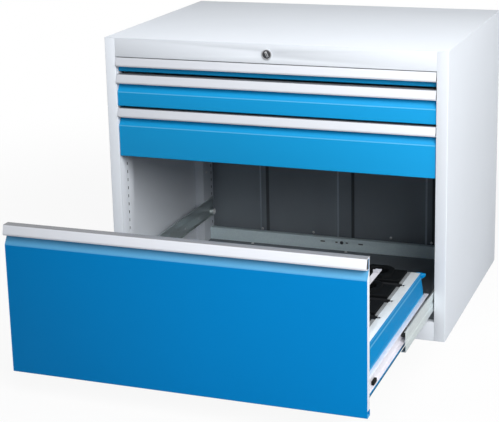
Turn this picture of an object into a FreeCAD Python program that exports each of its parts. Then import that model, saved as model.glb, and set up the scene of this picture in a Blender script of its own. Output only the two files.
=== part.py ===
"""A free-standing drawer cabinet for the tool holders of a machining centre.

The origin is at the centre of the footprint, on the floor. X runs to the right, Y to the
back and Z up, in millimetres. Depths are counted from the front plane of the carcase.
Three drawers are shut, and the tall fourth drawer stands fully pulled out.
"""

import FreeCAD
import Part
import Sketcher
import math
import os

# Every size of the cabinet: its name, its value and what it measures.
SIZES = [
    # The carcase.
    ("cab_width", 1005.0, "overall width"),
    ("cab_depth", 736.0, "overall depth"),
    ("cab_height", 819.0, "overall height"),
    ("carcase_sheet", 1.5, "sheet of the carcase"),
    ("flange_wide", 31.5, "front flange of a side panel"),
    ("flange_return", 6.0, "fold behind the front flange"),
    ("rear_flange", 22.0, "rear flange of a side panel"),
    ("fold_radius", 2.0, "outer radius of the carcase folds"),
    ("lock_rail_tall", 55.0, "height of the lock rail"),
    ("rail_return", 22.0, "depth of the lock rail and the base rail"),
    ("base_gap", 9.0, "gap from the base rail to the lowest drawer's place"),
    ("base_lip", 10.0, "lip behind the base rail's top"),
    ("floor_lip", 20.0, "turned-up edge of the floor pan"),
    ("rib_deep", 8.0, "depth of the folds pressed in the rear panel"),
    ("rib_flank", 8.0, "width of a pressed fold's flank"),
    ("side_rib_wide", 33.0, "width of the outer pressed folds"),
    ("side_rib_place", 289.0, "centre of the outer pressed folds"),
    ("centre_rib_wide", 60.0, "width of the middle pressed fold"),
    ("upright_sheet", 1.2, "sheet of the uprights"),
    ("front_upright_deep", 79.5, "depth of a front upright"),
    ("rear_upright_deep", 85.0, "depth of a rear upright"),
    ("rear_upright_back", 21.0, "back of a rear upright to the back of the carcase"),
    ("slot_wide", 4.5, "width of an upright's slot"),
    ("slot_tall", 9.0, "height of an upright's slot"),
    ("slot_pitch", 25.0, "pitch of the slots"),
    ("slot_first", 33.0, "height of the lowest slot"),
    ("slot_margin", 20.0, "least distance of a slot from the upright's top"),
    ("front_slot_place", 48.0, "depth of the front slots"),
    ("rear_slot_place", 36.0, "rear slots to the back of the carcase"),
    ("rear_rail_tall", 41.0, "height of the low rear rail"),
    ("rear_rail_place", 54.0, "face of the rear rail to the back of the carcase"),
    ("rear_rail_flange", 20.0, "flange of the rear rail"),
    ("rear_hole", 12.0, "round hole of the rear rail"),
    ("rear_hole_rise", 29.0, "height of the holes of the rear rail"),
    ("mark_tall", 5.0, "height of the slots of the rear rail"),
    ("near_mark_place", 18.0, "inner slots of the rear rail from its middle"),
    ("near_mark_wide", 8.0, "width of the inner slots"),
    ("far_mark_place", 66.0, "outer slots of the rear rail from its middle"),
    ("far_mark_wide", 16.0, "width of the outer slots"),
    # The drawers' places, from the top down. The tall drawer takes what is left.
    ("drawer_tall_1", 50.0, "height of the place of drawer 1"),
    ("drawer_tall_2", 100.0, "height of the place of drawer 2"),
    ("drawer_tall_3", 150.0, "height of the place of drawer 3"),
    ("base_tall", 64.0, "height of the base under the tall drawer's place"),
    # The fronts.
    ("front_gap", 1.5, "gap beside a front"),
    ("front_sheet", 1.2, "sheet of the fronts, the trays and the drawer frame"),
    ("front_set", 3.0, "front face behind the carcase's front plane"),
    ("recess_set", 17.0, "recess behind the handle"),
    ("panel_back", 26.0, "back of the fronts"),
    ("front_top_gap", 4.0, "top edge of a front below its place"),
    ("front_low_gap", 4.0, "lower edge of a front above its place"),
    ("recess_tall", 32.5, "lower end of the recess below the drawer's place"),
    ("slant_tall", 21.5, "height of the slanted strip below the recess"),
    ("front_fold", 3.0, "radius of the fold under a front"),
    ("front_lip", 16.0, "lip behind the lower edge of the tall front"),
    ("backing_step", 1.0, "inner pan inside the edge of the tall front"),
    # The handles.
    ("handle_top_gap", 2.0, "handle below the top of the drawer's place"),
    ("handle_back", 26.0, "back edge of a handle's top"),
    ("handle_crest", 2.0, "front edge of a handle's top"),
    ("handle_out", 4.0, "lowest point of the face before the front plane"),
    ("handle_face", 22.0, "height of a handle's leaning face"),
    ("handle_lip", 4.5, "height of a handle's rounded lip"),
    ("handle_lip_set", 1.5, "lip behind the face"),
    ("handle_under", 3.5, "fall of a handle's underside to the back"),
    ("handle_wall", 2.0, "wall of the handle section"),
    ("handle_round", 1.5, "radius of the handle's corners"),
    # The telescopic slides.
    ("slide_wide", 17.5, "width taken by a slide beside a drawer"),
    ("rail_sheet", 1.5, "sheet of the rails"),
    ("run_gap", 0.35, "running clearance of the rails and rollers"),
    ("mid_gap", 0.5, "gap beside the middle rail's web"),
    ("slide_start", 2.0, "front end of a cabinet rail behind the fronts"),
    ("mid_start", 1.0, "front end of a middle rail behind the cabinet rail's"),
    ("slide_end", 28.0, "rear end of a cabinet rail before the back of the carcase"),
    ("mid_end", 39.0, "rear end of a middle rail before the cabinet rail's"),
    ("drawer_end", 72.0, "rear end of a drawer rail before the cabinet rail's"),
    ("cab_top_flange", 6.5, "upper flange of a cabinet rail"),
    ("cab_low_flange", 9.0, "lower flange of a cabinet rail"),
    ("mid_top_flange", 4.5, "upper flange of a middle rail"),
    ("mid_low_flange", 12.0, "lower flange of a middle rail"),
    ("drawer_top_flange", 12.0, "upper flange of a drawer rail"),
    ("drawer_low_flange", 10.5, "lower flange of a drawer rail"),
    ("bead_deep", 1.2, "depth of the middle rail's bead"),
    ("roller_wide", 7.0, "width of a roller or a glide"),
    ("roller_in", 2.0, "roller beside the drawer rail's web"),
    ("roller_end", 15.0, "middle of a roller from the end of its rail"),
    ("slim_rise", 5.0, "slim cabinet rail above the drawer's place"),
    ("slim_tall", 30.0, "height of a slim cabinet rail"),
    ("slim_lift", 4.0, "slim drawer rail's top above the cabinet rail's"),
    ("slim_web", 25.0, "height of a slim drawer rail"),
    ("slim_glide", 16.0, "height of a slim slide's glide"),
    ("slim_stub", 4.0, "foot of a slim slide's glide"),
    ("slim_bead", 5.0, "height of a slim middle rail's bead"),
    ("glide_long", 28.0, "length of a glide"),
    ("slim_hook_place", 19.0, "hook of a slim slide above the drawer's place"),
    ("heavy_rise", 23.0, "heavy cabinet rail above the drawer's place"),
    ("heavy_tall", 60.0, "height of a heavy cabinet rail"),
    ("heavy_lift", 8.0, "heavy drawer rail's top above the cabinet rail's"),
    ("heavy_web", 41.0, "height of a heavy drawer rail"),
    ("heavy_roller", 28.0, "roller of a heavy slide"),
    ("heavy_stub", 8.0, "axle block of a heavy slide's roller"),
    ("ear_drop", 8.0, "ear of a heavy drawer rail below its roller's centre"),
    ("heavy_bead", 14.0, "height of a heavy middle rail's bead"),
    ("heavy_dock", 22.0, "dock roller of a heavy slide"),
    ("dock_place", 16.0, "centre of a dock roller behind the middle rail"),
    ("heavy_hook_place", 44.0, "lower hook of a heavy slide above the drawer's place"),
    ("hook_gap", 0.3, "hook behind the upright's web"),
    ("hook_wide", 3.0, "width of a hook"),
    ("hook_tall", 7.0, "height of a hook's neck"),
    ("hook_drop", 4.5, "fall of a hook behind the upright's web"),
    ("hook_thick", 3.5, "thickness of a hook's tongue"),
    # The trays of drawers 1 to 3.
    ("tray_rise", 6.0, "tray's floor above the drawer's place"),
    ("tray_top_gap", 8.0, "tray's rim below the top of the drawer's place"),
    ("tray_end", 4.0, "rear end of a tray before the drawer rail's"),
    # The frame of drawer 4.
    ("side_top", 154.5, "top of the frame sides above the drawer's place"),
    ("side_bottom", 23.0, "lower edge of the frame sides above the drawer's place"),
    ("side_end", 12.0, "rear end of a frame side before the drawer rail's"),
    ("side_waist", 6.5, "frame side's waist inside the slide"),
    ("side_crown", 5.5, "frame side's upper corner inside the slide"),
    ("waist_rise", 139.0, "height of the waist above the drawer's place"),
    ("band_rise", 96.0, "top of the band beside the slide above the drawer's place"),
    ("side_flange", 14.0, "top flange of a frame side"),
    ("side_foot", 10.0, "foot flange of a frame side"),
    ("window_rise", 48.0, "centre of the windows above the drawer's place"),
    ("window_tall", 20.0, "height of a window"),
    ("window_wide", 38.0, "width of a window"),
    ("window_corner", 6.0, "cut corners of a window"),
    ("window_place_1", 113.0, "depth of the first window"),
    ("window_place_2", 193.0, "depth of the second window"),
    ("window_place_3", 360.0, "depth of the third window"),
    ("window_place_4", 440.0, "depth of the fourth window"),
    ("rear_bar_deep", 16.0, "depth of the frame's rear bar"),
    ("rear_bar_rise", 31.0, "rear bar above the drawer's place"),
    ("rear_bar_tall", 50.0, "height of the rear bar"),
    ("strip_wide", 25.0, "top of a tool rail"),
    ("strip_in", 7.0, "tool rail's outer edge inside the slide"),
    ("strip_drop", 38.5, "ledge of a tool rail below its top"),
    ("ledge_wide", 15.5, "ledge of a tool rail"),
    ("strip_end", 9.5, "rear end of a tool rail before the frame side's"),
    ("notch_first", 141.0, "depth of the first notch"),
    ("carrier_end", 0.5, "last tool carrier before the end of the tool rails"),
    ("notch_wide", 14.0, "width of a notch"),
    ("notch_deep", 8.5, "depth of a notch"),
    ("notch_drop", 9.0, "height of a notch"),
    # The tool carriers and inserts.
    ("carrier_count", 4.0, "tool carriers in the drawer"),
    ("carrier_deep", 92.0, "depth of a tool carrier"),
    ("carrier_tall", 36.0, "height of a tool carrier"),
    ("carrier_gap", 0.4, "gap beside a tool carrier"),
    ("carrier_sheet", 1.2, "sheet of a tool carrier"),
    ("carrier_flange", 10.0, "flange at each end of a tool carrier"),
    ("insert_gap", 0.6, "gap beside an insert in its carrier"),
    ("insert_tall", 43.0, "height of an insert"),
    ("insert_round", 3.0, "radius of an insert's upper edges"),
    ("collar_tall", 9.0, "height of a socket's collar"),
    ("collar_wide", 84.0, "width of a socket's collar"),
    ("collar_corner", 18.0, "cut corners of a socket's collar"),
    ("socket_wide", 64.0, "bore of a socket"),
    ("socket_pitch", 136.0, "pitch of the sockets"),
    # Buffers, catches and the central lock.
    ("buffer_place", 88.0, "depth of a buffer"),
    ("buffer_long", 28.0, "length of a buffer"),
    ("buffer_wide", 7.0, "width of a buffer"),
    ("buffer_tall", 10.0, "height of a buffer"),
    ("buffer_rise", 1.5, "buffer above the drawer rail's lower flange"),
    ("catch_place", 104.0, "depth of the lock catches"),
    ("catch_long", 26.0, "length of a lock catch"),
    ("catch_sheet", 1.5, "sheet of a lock catch"),
    ("catch_tall", 8.0, "height of a lock catch"),
    ("catch_side_gap", 1.5, "catch beside the upright's face"),
    ("catch_4_drop", 69.5, "catch of drawer 4 below the top of its place"),
    ("gusset_tall", 36.0, "height of the gusset under that catch"),
    ("gusset_nose", 4.0, "height of the gusset under the catch's front"),
    ("bar_gap", 1.0, "lock bar's teeth before the catches"),
    ("bar_wide", 13.0, "width of the lock bar"),
    ("bar_thick", 3.0, "thickness of the lock bar"),
    ("bar_out", 5.0, "lock bar beside the upright's face"),
    ("bar_tail", 9.5, "lower end of the lock bar below the foot of drawer 4's catch"),
    ("bar_arm_tall", 12.0, "height of the lock bar's arm"),
    ("bar_stroke", 10.0, "travel of the lock bar and the lock rod"),
    ("tooth_reach", 16.0, "length of a lock bar's tooth"),
    ("tooth_tall", 6.0, "height of a lock bar's tooth"),
    ("tooth_gap", 0.6, "locked tooth above a catch's foot"),
    ("lock_place", 6.5, "lock left of the middle"),
    ("lock_drop", 29.0, "lock below the top of the carcase"),
    ("bezel_wide", 29.0, "diameter of the lock's bezel"),
    ("bezel_bore", 24.0, "bore of the bezel"),
    ("bezel_out", 3.5, "bezel before the front plane"),
    ("bezel_floor", 1.2, "floor of the bezel"),
    ("shank_wide", 19.0, "diameter of the lock's shank"),
    ("shank_long", 17.0, "length of the shank behind the front plane"),
    ("shank_gap", 0.2, "shank in the bore of the lock rail"),
    ("shank_bore", 14.7, "bore of the shank"),
    ("barrel_tail", 9.0, "width of the barrel's square tail"),
    ("barrel_gap", 0.35, "clearance round the barrel"),
    ("barrel_head_set", 0.8, "barrel's head behind the bezel's edge"),
    ("barrel_long", 23.0, "barrel's rear end behind the front plane"),
    ("keyway_reach", 3.0, "middle of the keyway's ends from its centre"),
    ("keyway_corner", 1.6, "corners of the keyway past those points"),
    ("keyway_deep", 4.0, "depth of the keyway"),
    ("cam_thick", 2.0, "thickness of the cam"),
    ("cam_corner", 7.0, "corners of the cam from the middle of its ends"),
    ("cam_pin", 4.0, "diameter of the pins in the rod's slots"),
    ("pin_gap", 0.6, "clearance round a pin"),
    ("rod_gap", 2.0, "rod behind the cam"),
    ("rod_thick", 2.0, "thickness of the lock rod"),
    ("rod_tall", 16.0, "height of the lock rod"),
    ("rod_drop", 7.0, "rod's middle below the lock"),
    ("rod_tail", 20.0, "rod left of the lock"),
    ("rod_head_long", 30.0, "length of the rod's head"),
    ("rod_head_tall", 28.0, "height of the rod's head"),
    ("rod_head_gap", 5.0, "rod's head beside the side panel"),
    ("pin_reach", 6.0, "length of the lock bar's pin"),
    ("arm_gap", 1.5, "lock bar's arm behind the rod"),
    ("guide_gap", 0.3, "clearance in the guides"),
    ("guide_tall", 16.0, "height of a bar guide"),
    ("guide_wall", 2.0, "wall of a guide"),
    ("low_guide_rise", 55.5, "lower bar guide above the foot of drawer 4's catch"),
    ("high_guide_rise", 47.0, "upper bar guide above the foot of drawer 2's catch"),
    ("stirrup_in", 41.0, "rod stirrup inside the opening's edge"),
    ("stirrup_wide", 10.0, "width of the rod stirrup"),
]


class Length:
    """A number together with the expression that binds it to the sheet of sizes."""

    def __init__(self, value, text):
        self.value = float(value)
        self.text = text

    def __add__(self, other):
        other = as_length(other)
        return Length(self.value + other.value, f"({self.text} + {other.text})")

    def __sub__(self, other):
        other = as_length(other)
        return Length(self.value - other.value, f"({self.text} - {other.text})")

    def __mul__(self, other):
        other = as_length(other)
        return Length(self.value * other.value, f"({self.text} * {other.text})")

    def __truediv__(self, other):
        other = as_length(other)
        return Length(self.value / other.value, f"({self.text} / {other.text})")

    def __neg__(self):
        return Length(-self.value, f"(0 - {self.text})")

    __radd__ = __add__
    __rmul__ = __mul__


def as_length(item):
    """A plain number as a length without a place in the sheet."""
    return item if isinstance(item, Length) else Length(item, f"({item})")


def root_of_squares(first, second):
    """The hypotenuse over two lengths."""
    return Length(math.hypot(first.value, second.value),
                  f"sqrt({first.text} * {first.text} + {second.text} * {second.text})")


def whole(item):
    """The whole number below a length, for counts."""
    return Length(math.floor(item.value), f"floor({item.text})")


def nearest(item):
    """The whole number nearest to a length."""
    return Length(math.floor(item.value + 0.5), f"floor({item.text} + 0.5)")


class SizeSheet:
    """The sheet of sizes, with one attribute for each named size."""

    def __init__(self, document, rows):
        self.sheet = document.addObject("Spreadsheet::Sheet", "Sizes")
        for line, (name, value, meaning) in enumerate(rows, start=1):
            self.sheet.set(f"A{line}", meaning)
            self.sheet.set(f"B{line}", str(value))
            self.sheet.setAlias(f"B{line}", name)
            setattr(self, name, Length(value, f"Sizes.{name}"))
        document.recompute()


doc = FreeCAD.newDocument("ToolDrawerCabinet")
size = SizeSheet(doc, SIZES)
nodes = []
cuts = []

OTHER_AXES = {"X": "yz", "Y": "xz", "Z": "xy"}
TOUCH = 1e-4

# Places that several pieces share.
half_width = size.cab_width / 2
half_depth = size.cab_depth / 2
front = -half_depth
sheet = size.carcase_sheet
top_under = size.cab_height - sheet
panel_inner = half_width - sheet
opening_half = half_width - size.flange_wide
slide_in = opening_half - size.slide_wide
front_half = opening_half - size.front_gap
rear_skin = half_depth - sheet
place_top = {1: size.cab_height - size.lock_rail_tall}
place_low = {4: size.base_tall}
for number in (1, 2, 3):
    place_low[number] = place_top[number] - getattr(size, f"drawer_tall_{number}")
    place_top[number + 1] = place_low[number]
fronts_back = front + size.panel_back
cab_rail_start = fronts_back + size.slide_start
cab_rail_end = half_depth - size.slide_end
cab_rail_long = cab_rail_end - cab_rail_start
mid_rail_start = cab_rail_start + size.mid_start
mid_rail_end = cab_rail_end - size.mid_end
mid_rail_long = mid_rail_end - mid_rail_start
drawer_rail_end = cab_rail_end - size.drawer_end
extension = cab_rail_long
lock_x = -size.lock_place
lock_z = size.cab_height - size.lock_drop


def keep(piece):
    """Note a finished piece as one of the cabinet's nodes."""
    nodes.append(piece)
    return piece


def new_body(label, pulled=None):
    """An empty body, drawn shut, and moved forward by the length it is pulled out."""
    body = doc.addObject("PartDesign::Body", label)
    body.Label = label
    if pulled is not None:
        body.setExpression(".Placement.Base.y", (-pulled).text)
    return body


def new_sketch(body, role, station):
    """A sketch on one of the body's origin planes, moved to a station along its axis."""
    sketch = body.newObject("Sketcher::SketchObject", "Sketch")
    plane = next(item for item in body.Origin.OriginFeatures if item.Role == role)
    sketch.AttachmentSupport = [(plane, "")]
    sketch.MapMode = "FlatFace"
    station = as_length(station)
    offset = -station if role == "XZ_Plane" else station
    sketch.setExpression(".AttachmentOffset.Base.z", offset.text)
    return sketch


def bind_point(sketch, geometry, point, place):
    """Tie a point of the sketch to two lengths from the origin."""
    for kind, length in zip(("DistanceX", "DistanceY"), place):
        index = sketch.addConstraint(
            Sketcher.Constraint(kind, -1, 1, geometry, point, length.value))
        sketch.setExpression(f"Constraints[{index}]", length.text)


def draw_outline(sketch, corners):
    """A closed outline of straight lines through the corners."""
    corners = [(as_length(across), as_length(up)) for across, up in corners]
    first = sketch.GeometryCount
    count = len(corners)
    for step, (across, up) in enumerate(corners):
        next_across, next_up = corners[(step + 1) % count]
        sketch.addGeometry(Part.LineSegment(
            FreeCAD.Vector(across.value, up.value, 0),
            FreeCAD.Vector(next_across.value, next_up.value, 0)), False)
    for step in range(count):
        sketch.addConstraint(Sketcher.Constraint(
            "Coincident", first + step, 2, first + (step + 1) % count, 1))
    for step, place in enumerate(corners):
        bind_point(sketch, first + step, 1, place)


def draw_box(sketch, low, high):
    """A rectangle between two opposite corners."""
    draw_outline(sketch, [low, (high[0], low[1]), high, (low[0], high[1])])


def draw_circle(sketch, across, up, diameter):
    """A circle with its centre and diameter bound to lengths."""
    across, up, diameter = as_length(across), as_length(up), as_length(diameter)
    circle = sketch.addGeometry(Part.Circle(
        FreeCAD.Vector(across.value, up.value, 0), FreeCAD.Vector(0, 0, 1),
        diameter.value / 2), False)
    bind_point(sketch, circle, 3, (across, up))
    index = sketch.addConstraint(Sketcher.Constraint("Diameter", circle, diameter.value))
    sketch.setExpression(f"Constraints[{index}]", diameter.text)


def draw_many_sided(sketch, across, up, width):
    """A regular outline of twenty sides, its corners on a circle of the given width."""
    corners = []
    for degrees in range(9, 360, 18):
        angle = math.radians(degrees)
        corners.append((across + width * (math.cos(angle) / 2),
                        up + width * (math.sin(angle) / 2)))
    draw_outline(sketch, corners)


def draw_octagon(sketch, low, high, corner):
    """A rectangle with its four corners cut off."""
    left, bottom = low
    right, top = high
    draw_outline(sketch, [
        (left + corner, bottom), (right - corner, bottom),
        (right, bottom + corner), (right, top - corner),
        (right - corner, top), (left + corner, top),
        (left, top - corner), (left, bottom + corner),
    ])


def draw_incline(sketch, start, end, corner):
    """A band that falls to the right at 45 degrees, its corners this far past the ends."""
    draw_outline(sketch, [
        (start[0] - corner, start[1]),
        (end[0], end[1] - corner),
        (end[0] + corner, end[1]),
        (start[0], start[1] + corner),
    ])


def folded(corners):
    """The outline of a folded sheet: outer corners, and where each inner corner lies."""
    outer = [(across, up) for across, up, _, _ in corners]
    inner = [(across + step_across, up + step_up)
             for across, up, step_across, step_up in reversed(corners)]
    return outer + inner


def pad(body, sketch, length, reverse=False, both=False):
    """A pad of the sketch, to one side or half to each side."""
    feature = body.newObject("PartDesign::Pad", "Pad")
    feature.Profile = sketch
    feature.setExpression("Length", as_length(length).text)
    feature.Reversed = reverse
    if both:
        feature.SideType = "Symmetric"
    return feature


def pocket(body, sketch, depth, reverse=False, both=False):
    """A pocket of the sketch, noted so that it is seen to cut."""
    before = body.Tip
    feature = body.newObject("PartDesign::Pocket", "Pocket")
    feature.Profile = sketch
    feature.setExpression("Length", as_length(depth).text)
    feature.Reversed = reverse
    if both:
        feature.SideType = "Symmetric"
    cuts.append((before, feature))
    return feature


def repeat(body, features, direction, pitch, count):
    """Copies of features at an even pitch."""
    pattern = body.newObject("PartDesign::LinearPattern", "Repeat")
    pattern.Originals = features
    pattern.Direction = direction
    pattern.Mode = "Spacing"
    pattern.setExpression("Offset", pitch.text)
    pattern.setExpression("Occurrences", count.text)
    body.Tip = pattern
    return pattern


def round_edges(body, axis, spots, radius):
    """Round the edges along an axis that pass through the given spots."""
    doc.recompute()
    base = body.Tip
    first, second = OTHER_AXES[axis]
    names = []
    for count, edge in enumerate(base.Shape.Edges, start=1):
        if len(edge.Vertexes) != 2:
            continue
        start = edge.Vertexes[0].Point
        along = edge.Vertexes[1].Point - start
        if abs(getattr(along, first)) > TOUCH or abs(getattr(along, second)) > TOUCH:
            continue
        for across, up in spots:
            if (abs(getattr(start, first) - across.value) < TOUCH
                    and abs(getattr(start, second) - up.value) < TOUCH):
                names.append(f"Edge{count}")
    fillet = body.newObject("PartDesign::Fillet", "Round")
    fillet.Base = (base, names)
    fillet.setExpression("Radius", as_length(radius).text)
    return fillet


def hollow(body, axis, station, wall):
    """Hollow the body to a wall, open at its flat face at a station along an axis."""
    doc.recompute()
    base = body.Tip
    names = []
    for count, face in enumerate(base.Shape.Faces, start=1):
        low = getattr(face.BoundBox, f"{axis}Min")
        high = getattr(face.BoundBox, f"{axis}Max")
        if abs(low - station.value) < TOUCH and abs(high - station.value) < TOUCH:
            names.append(f"Face{count}")
    shell = body.newObject("PartDesign::Thickness", "Shell")
    shell.Base = (base, names)
    shell.setExpression("Value", wall.text)
    shell.Reversed = True
    shell.Join = 1
    return shell


def mirror(source, label):
    """The left-hand twin of a right-hand piece."""
    twin = doc.addObject("Part::Mirroring", label)
    twin.Source = source
    twin.Normal = (1, 0, 0)
    twin.Label = label
    return twin


def gather(label, pieces):
    """Several solids of one kind under one name."""
    group = doc.addObject("Part::Compound", label)
    group.Links = pieces
    group.Label = label
    return group


def pair(label, right):
    """A right-hand piece and its left-hand twin under one name."""
    return gather(label, [right, mirror(right, f"{label}_twin")])


def make_side_panels():
    """The two outer side panels, each folded to a front and a rear flange."""
    body = new_body("side_panel_right")
    sketch = new_sketch(body, "XY_Plane", 0)
    draw_outline(sketch, folded([
        (opening_half, front + size.flange_return, sheet, 0),
        (opening_half, front, sheet, sheet),
        (half_width, front, -sheet, sheet),
        (half_width, half_depth, -sheet, -sheet),
        (half_width - size.rear_flange, half_depth, 0, -sheet),
    ]))
    pad(body, sketch, top_under)
    round_edges(body, "Z", [(half_width, front), (half_width, half_depth)], size.fold_radius)
    keep(body)
    keep(mirror(body, "side_panel_left"))


def make_top_panel():
    """The flat top, over both side panels."""
    body = new_body("top_panel")
    sketch = new_sketch(body, "XY_Plane", top_under)
    draw_box(sketch, (-half_width, front), (half_width, half_depth))
    pad(body, sketch, sheet)
    round_edges(body, "Z", [(half_width, front), (half_width, half_depth),
                            (-half_width, front), (-half_width, half_depth)],
                size.fold_radius)
    keep(body)


def make_lock_rail():
    """The front member above the drawers, with the bore of the lock."""
    low = place_top[1]
    body = new_body("lock_rail")
    sketch = new_sketch(body, "YZ_Plane", 0)
    draw_outline(sketch, folded([
        (front + size.rail_return, low, 0, sheet),
        (front, low, sheet, sheet),
        (front, top_under, sheet, -sheet),
        (front + size.rail_return, top_under, 0, -sheet),
    ]))
    pad(body, sketch, 2 * opening_half, both=True)
    bore = new_sketch(body, "XZ_Plane", front)
    draw_circle(bore, lock_x, lock_z, size.shank_wide + 2 * size.shank_gap)
    pocket(body, bore, 2 * sheet, both=True)
    keep(body)


def make_base_rail():
    """The front member under the drawers."""
    high = place_low[4] - size.base_gap
    body = new_body("base_rail")
    sketch = new_sketch(body, "YZ_Plane", 0)
    draw_outline(sketch, folded([
        (front + size.flange_return, as_length(0), 0, sheet),
        (front, as_length(0), sheet, sheet),
        (front, high, sheet, -sheet),
        (front + size.rail_return, high, -sheet, -sheet),
        (front + size.rail_return, high - size.base_lip, -sheet, 0),
    ]))
    pad(body, sketch, 2 * opening_half, both=True)
    keep(body)


def make_floor_pan():
    """The floor, turned up at the front and the back."""
    start = front + size.flange_return
    end = rear_skin - size.rib_deep - sheet
    body = new_body("floor_pan")
    sketch = new_sketch(body, "YZ_Plane", 0)
    draw_outline(sketch, folded([
        (start, size.floor_lip, sheet, 0),
        (start, as_length(0), sheet, sheet),
        (end, as_length(0), -sheet, sheet),
        (end, size.floor_lip, -sheet, 0),
    ]))
    pad(body, sketch, 2 * panel_inner, both=True)
    keep(body)


def make_rear_panel():
    """The rear panel, stiffened by three upright folds pressed inwards."""
    ribs = [
        (-size.side_rib_place, size.side_rib_wide),
        (as_length(0), size.centre_rib_wide),
        (size.side_rib_place, size.side_rib_wide),
    ]
    corners = [(-panel_inner, rear_skin, 0, -sheet)]
    for centre, wide in ribs:
        low = centre - wide / 2
        high = centre + wide / 2
        crest = rear_skin - size.rib_deep
        corners += [
            (low, rear_skin, 0, -sheet),
            (low + size.rib_flank, crest, 0, -sheet),
            (high - size.rib_flank, crest, 0, -sheet),
            (high, rear_skin, 0, -sheet),
        ]
    corners.append((panel_inner, rear_skin, 0, -sheet))
    body = new_body("rear_panel")
    sketch = new_sketch(body, "XY_Plane", 0)
    draw_outline(sketch, folded(corners))
    pad(body, sketch, top_under)
    keep(body)


def make_rear_rail():
    """The low rail between the rear uprights, with its round hole and slots."""
    face = half_depth - size.rear_rail_place
    back = face + size.rear_rail_flange
    high = sheet + size.rear_rail_tall
    body = new_body("rear_rail")
    sketch = new_sketch(body, "YZ_Plane", 0)
    draw_outline(sketch, folded([
        (back, sheet, 0, sheet),
        (face, sheet, sheet, sheet),
        (face, high, sheet, -sheet),
        (back, high, 0, -sheet),
    ]))
    pad(body, sketch, 2 * opening_half, both=True)
    holes = new_sketch(body, "XZ_Plane", face)
    draw_circle(holes, 0, size.rear_hole_rise, size.rear_hole)
    for place, wide in ((size.near_mark_place, size.near_mark_wide),
                        (size.far_mark_place, size.far_mark_wide)):
        for centre in (-place, place):
            draw_box(holes,
                     (centre - wide / 2, size.rear_hole_rise - size.mark_tall / 2),
                     (centre + wide / 2, size.rear_hole_rise + size.mark_tall / 2))
    pocket(body, holes, 2 * sheet, both=True)
    keep(body)


def make_upright(label, start, deep, slots):
    """A channel that stands against the side panel, with a row of slots in its face."""
    thick = size.upright_sheet
    tall = place_top[1] - sheet
    body = new_body(f"{label}_right")
    sketch = new_sketch(body, "XY_Plane", sheet)
    draw_outline(sketch, folded([
        (panel_inner, start, 0, thick),
        (opening_half, start, thick, thick),
        (opening_half, start + deep, thick, -thick),
        (panel_inner, start + deep, 0, -thick),
    ]))
    pad(body, sketch, tall)
    slot = new_sketch(body, "YZ_Plane", opening_half)
    draw_box(slot,
             (slots - size.slot_wide / 2, size.slot_first - size.slot_tall / 2),
             (slots + size.slot_wide / 2, size.slot_first + size.slot_tall / 2))
    cut = pocket(body, slot, 2 * thick, both=True)
    count = whole((place_top[1] - size.slot_first - size.slot_margin) / size.slot_pitch) + 1
    repeat(body, [cut], (slot, ["V_Axis"]), size.slot_pitch, count)
    keep(body)
    keep(mirror(body, f"{label}_left"))


front_slots = front + size.front_slot_place
rear_slots = half_depth - size.rear_slot_place


class Slide:
    """The heights of one telescopic slide, from its drawer's place and its make."""

    def __init__(self, number):
        make = "heavy" if number == 4 else "slim"
        self.number = number
        self.pulled = extension if number == 4 else None
        self.half_pulled = extension / 2 if number == 4 else None
        self.rolls = number == 4
        self.tall = size.heavy_roller if self.rolls else size.slim_glide
        self.reach = (size.heavy_roller if self.rolls else size.glide_long) / 2
        self.stub = getattr(size, f"{make}_stub")
        self.bead = getattr(size, f"{make}_bead")
        self.cab_low = place_low[number] + getattr(size, f"{make}_rise")
        self.cab_high = self.cab_low + getattr(size, f"{make}_tall")
        self.mid_low = self.cab_low + size.rail_sheet + size.run_gap
        self.mid_high = self.cab_high - size.rail_sheet - size.run_gap
        self.drawer_high = self.cab_high + getattr(size, f"{make}_lift")
        self.drawer_low = self.drawer_high - getattr(size, f"{make}_web")
        first_hook = nearest(
            (place_low[number] + getattr(size, f"{make}_hook_place") - size.slot_first)
            / size.slot_pitch)
        rows = [first_hook, first_hook + 1] if number == 4 else [first_hook]
        self.hooks = [size.slot_first + row * size.slot_pitch for row in rows]

    def draw_runner(self, sketch, depth, rise):
        """The outline of a roller, or of a glide on a slim slide."""
        if self.rolls:
            draw_circle(sketch, depth, rise, self.tall)
        else:
            draw_box(sketch, (depth - self.reach, rise - self.tall / 2),
                     (depth + self.reach, rise + self.tall / 2))

    def draw_stub(self, sketch, depth, rise):
        """The outline of the block that joins a roller or a glide to its rail."""
        half = self.stub / 2
        draw_box(sketch, (depth - half, rise - half), (depth + half, rise + half))


cab_rail_in = opening_half - size.rail_sheet
mid_rail_out = cab_rail_in - size.mid_gap
mid_web_in = mid_rail_out - size.rail_sheet
drawer_web_out = slide_in + size.rail_sheet
roller_start = drawer_web_out + size.roller_in


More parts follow.
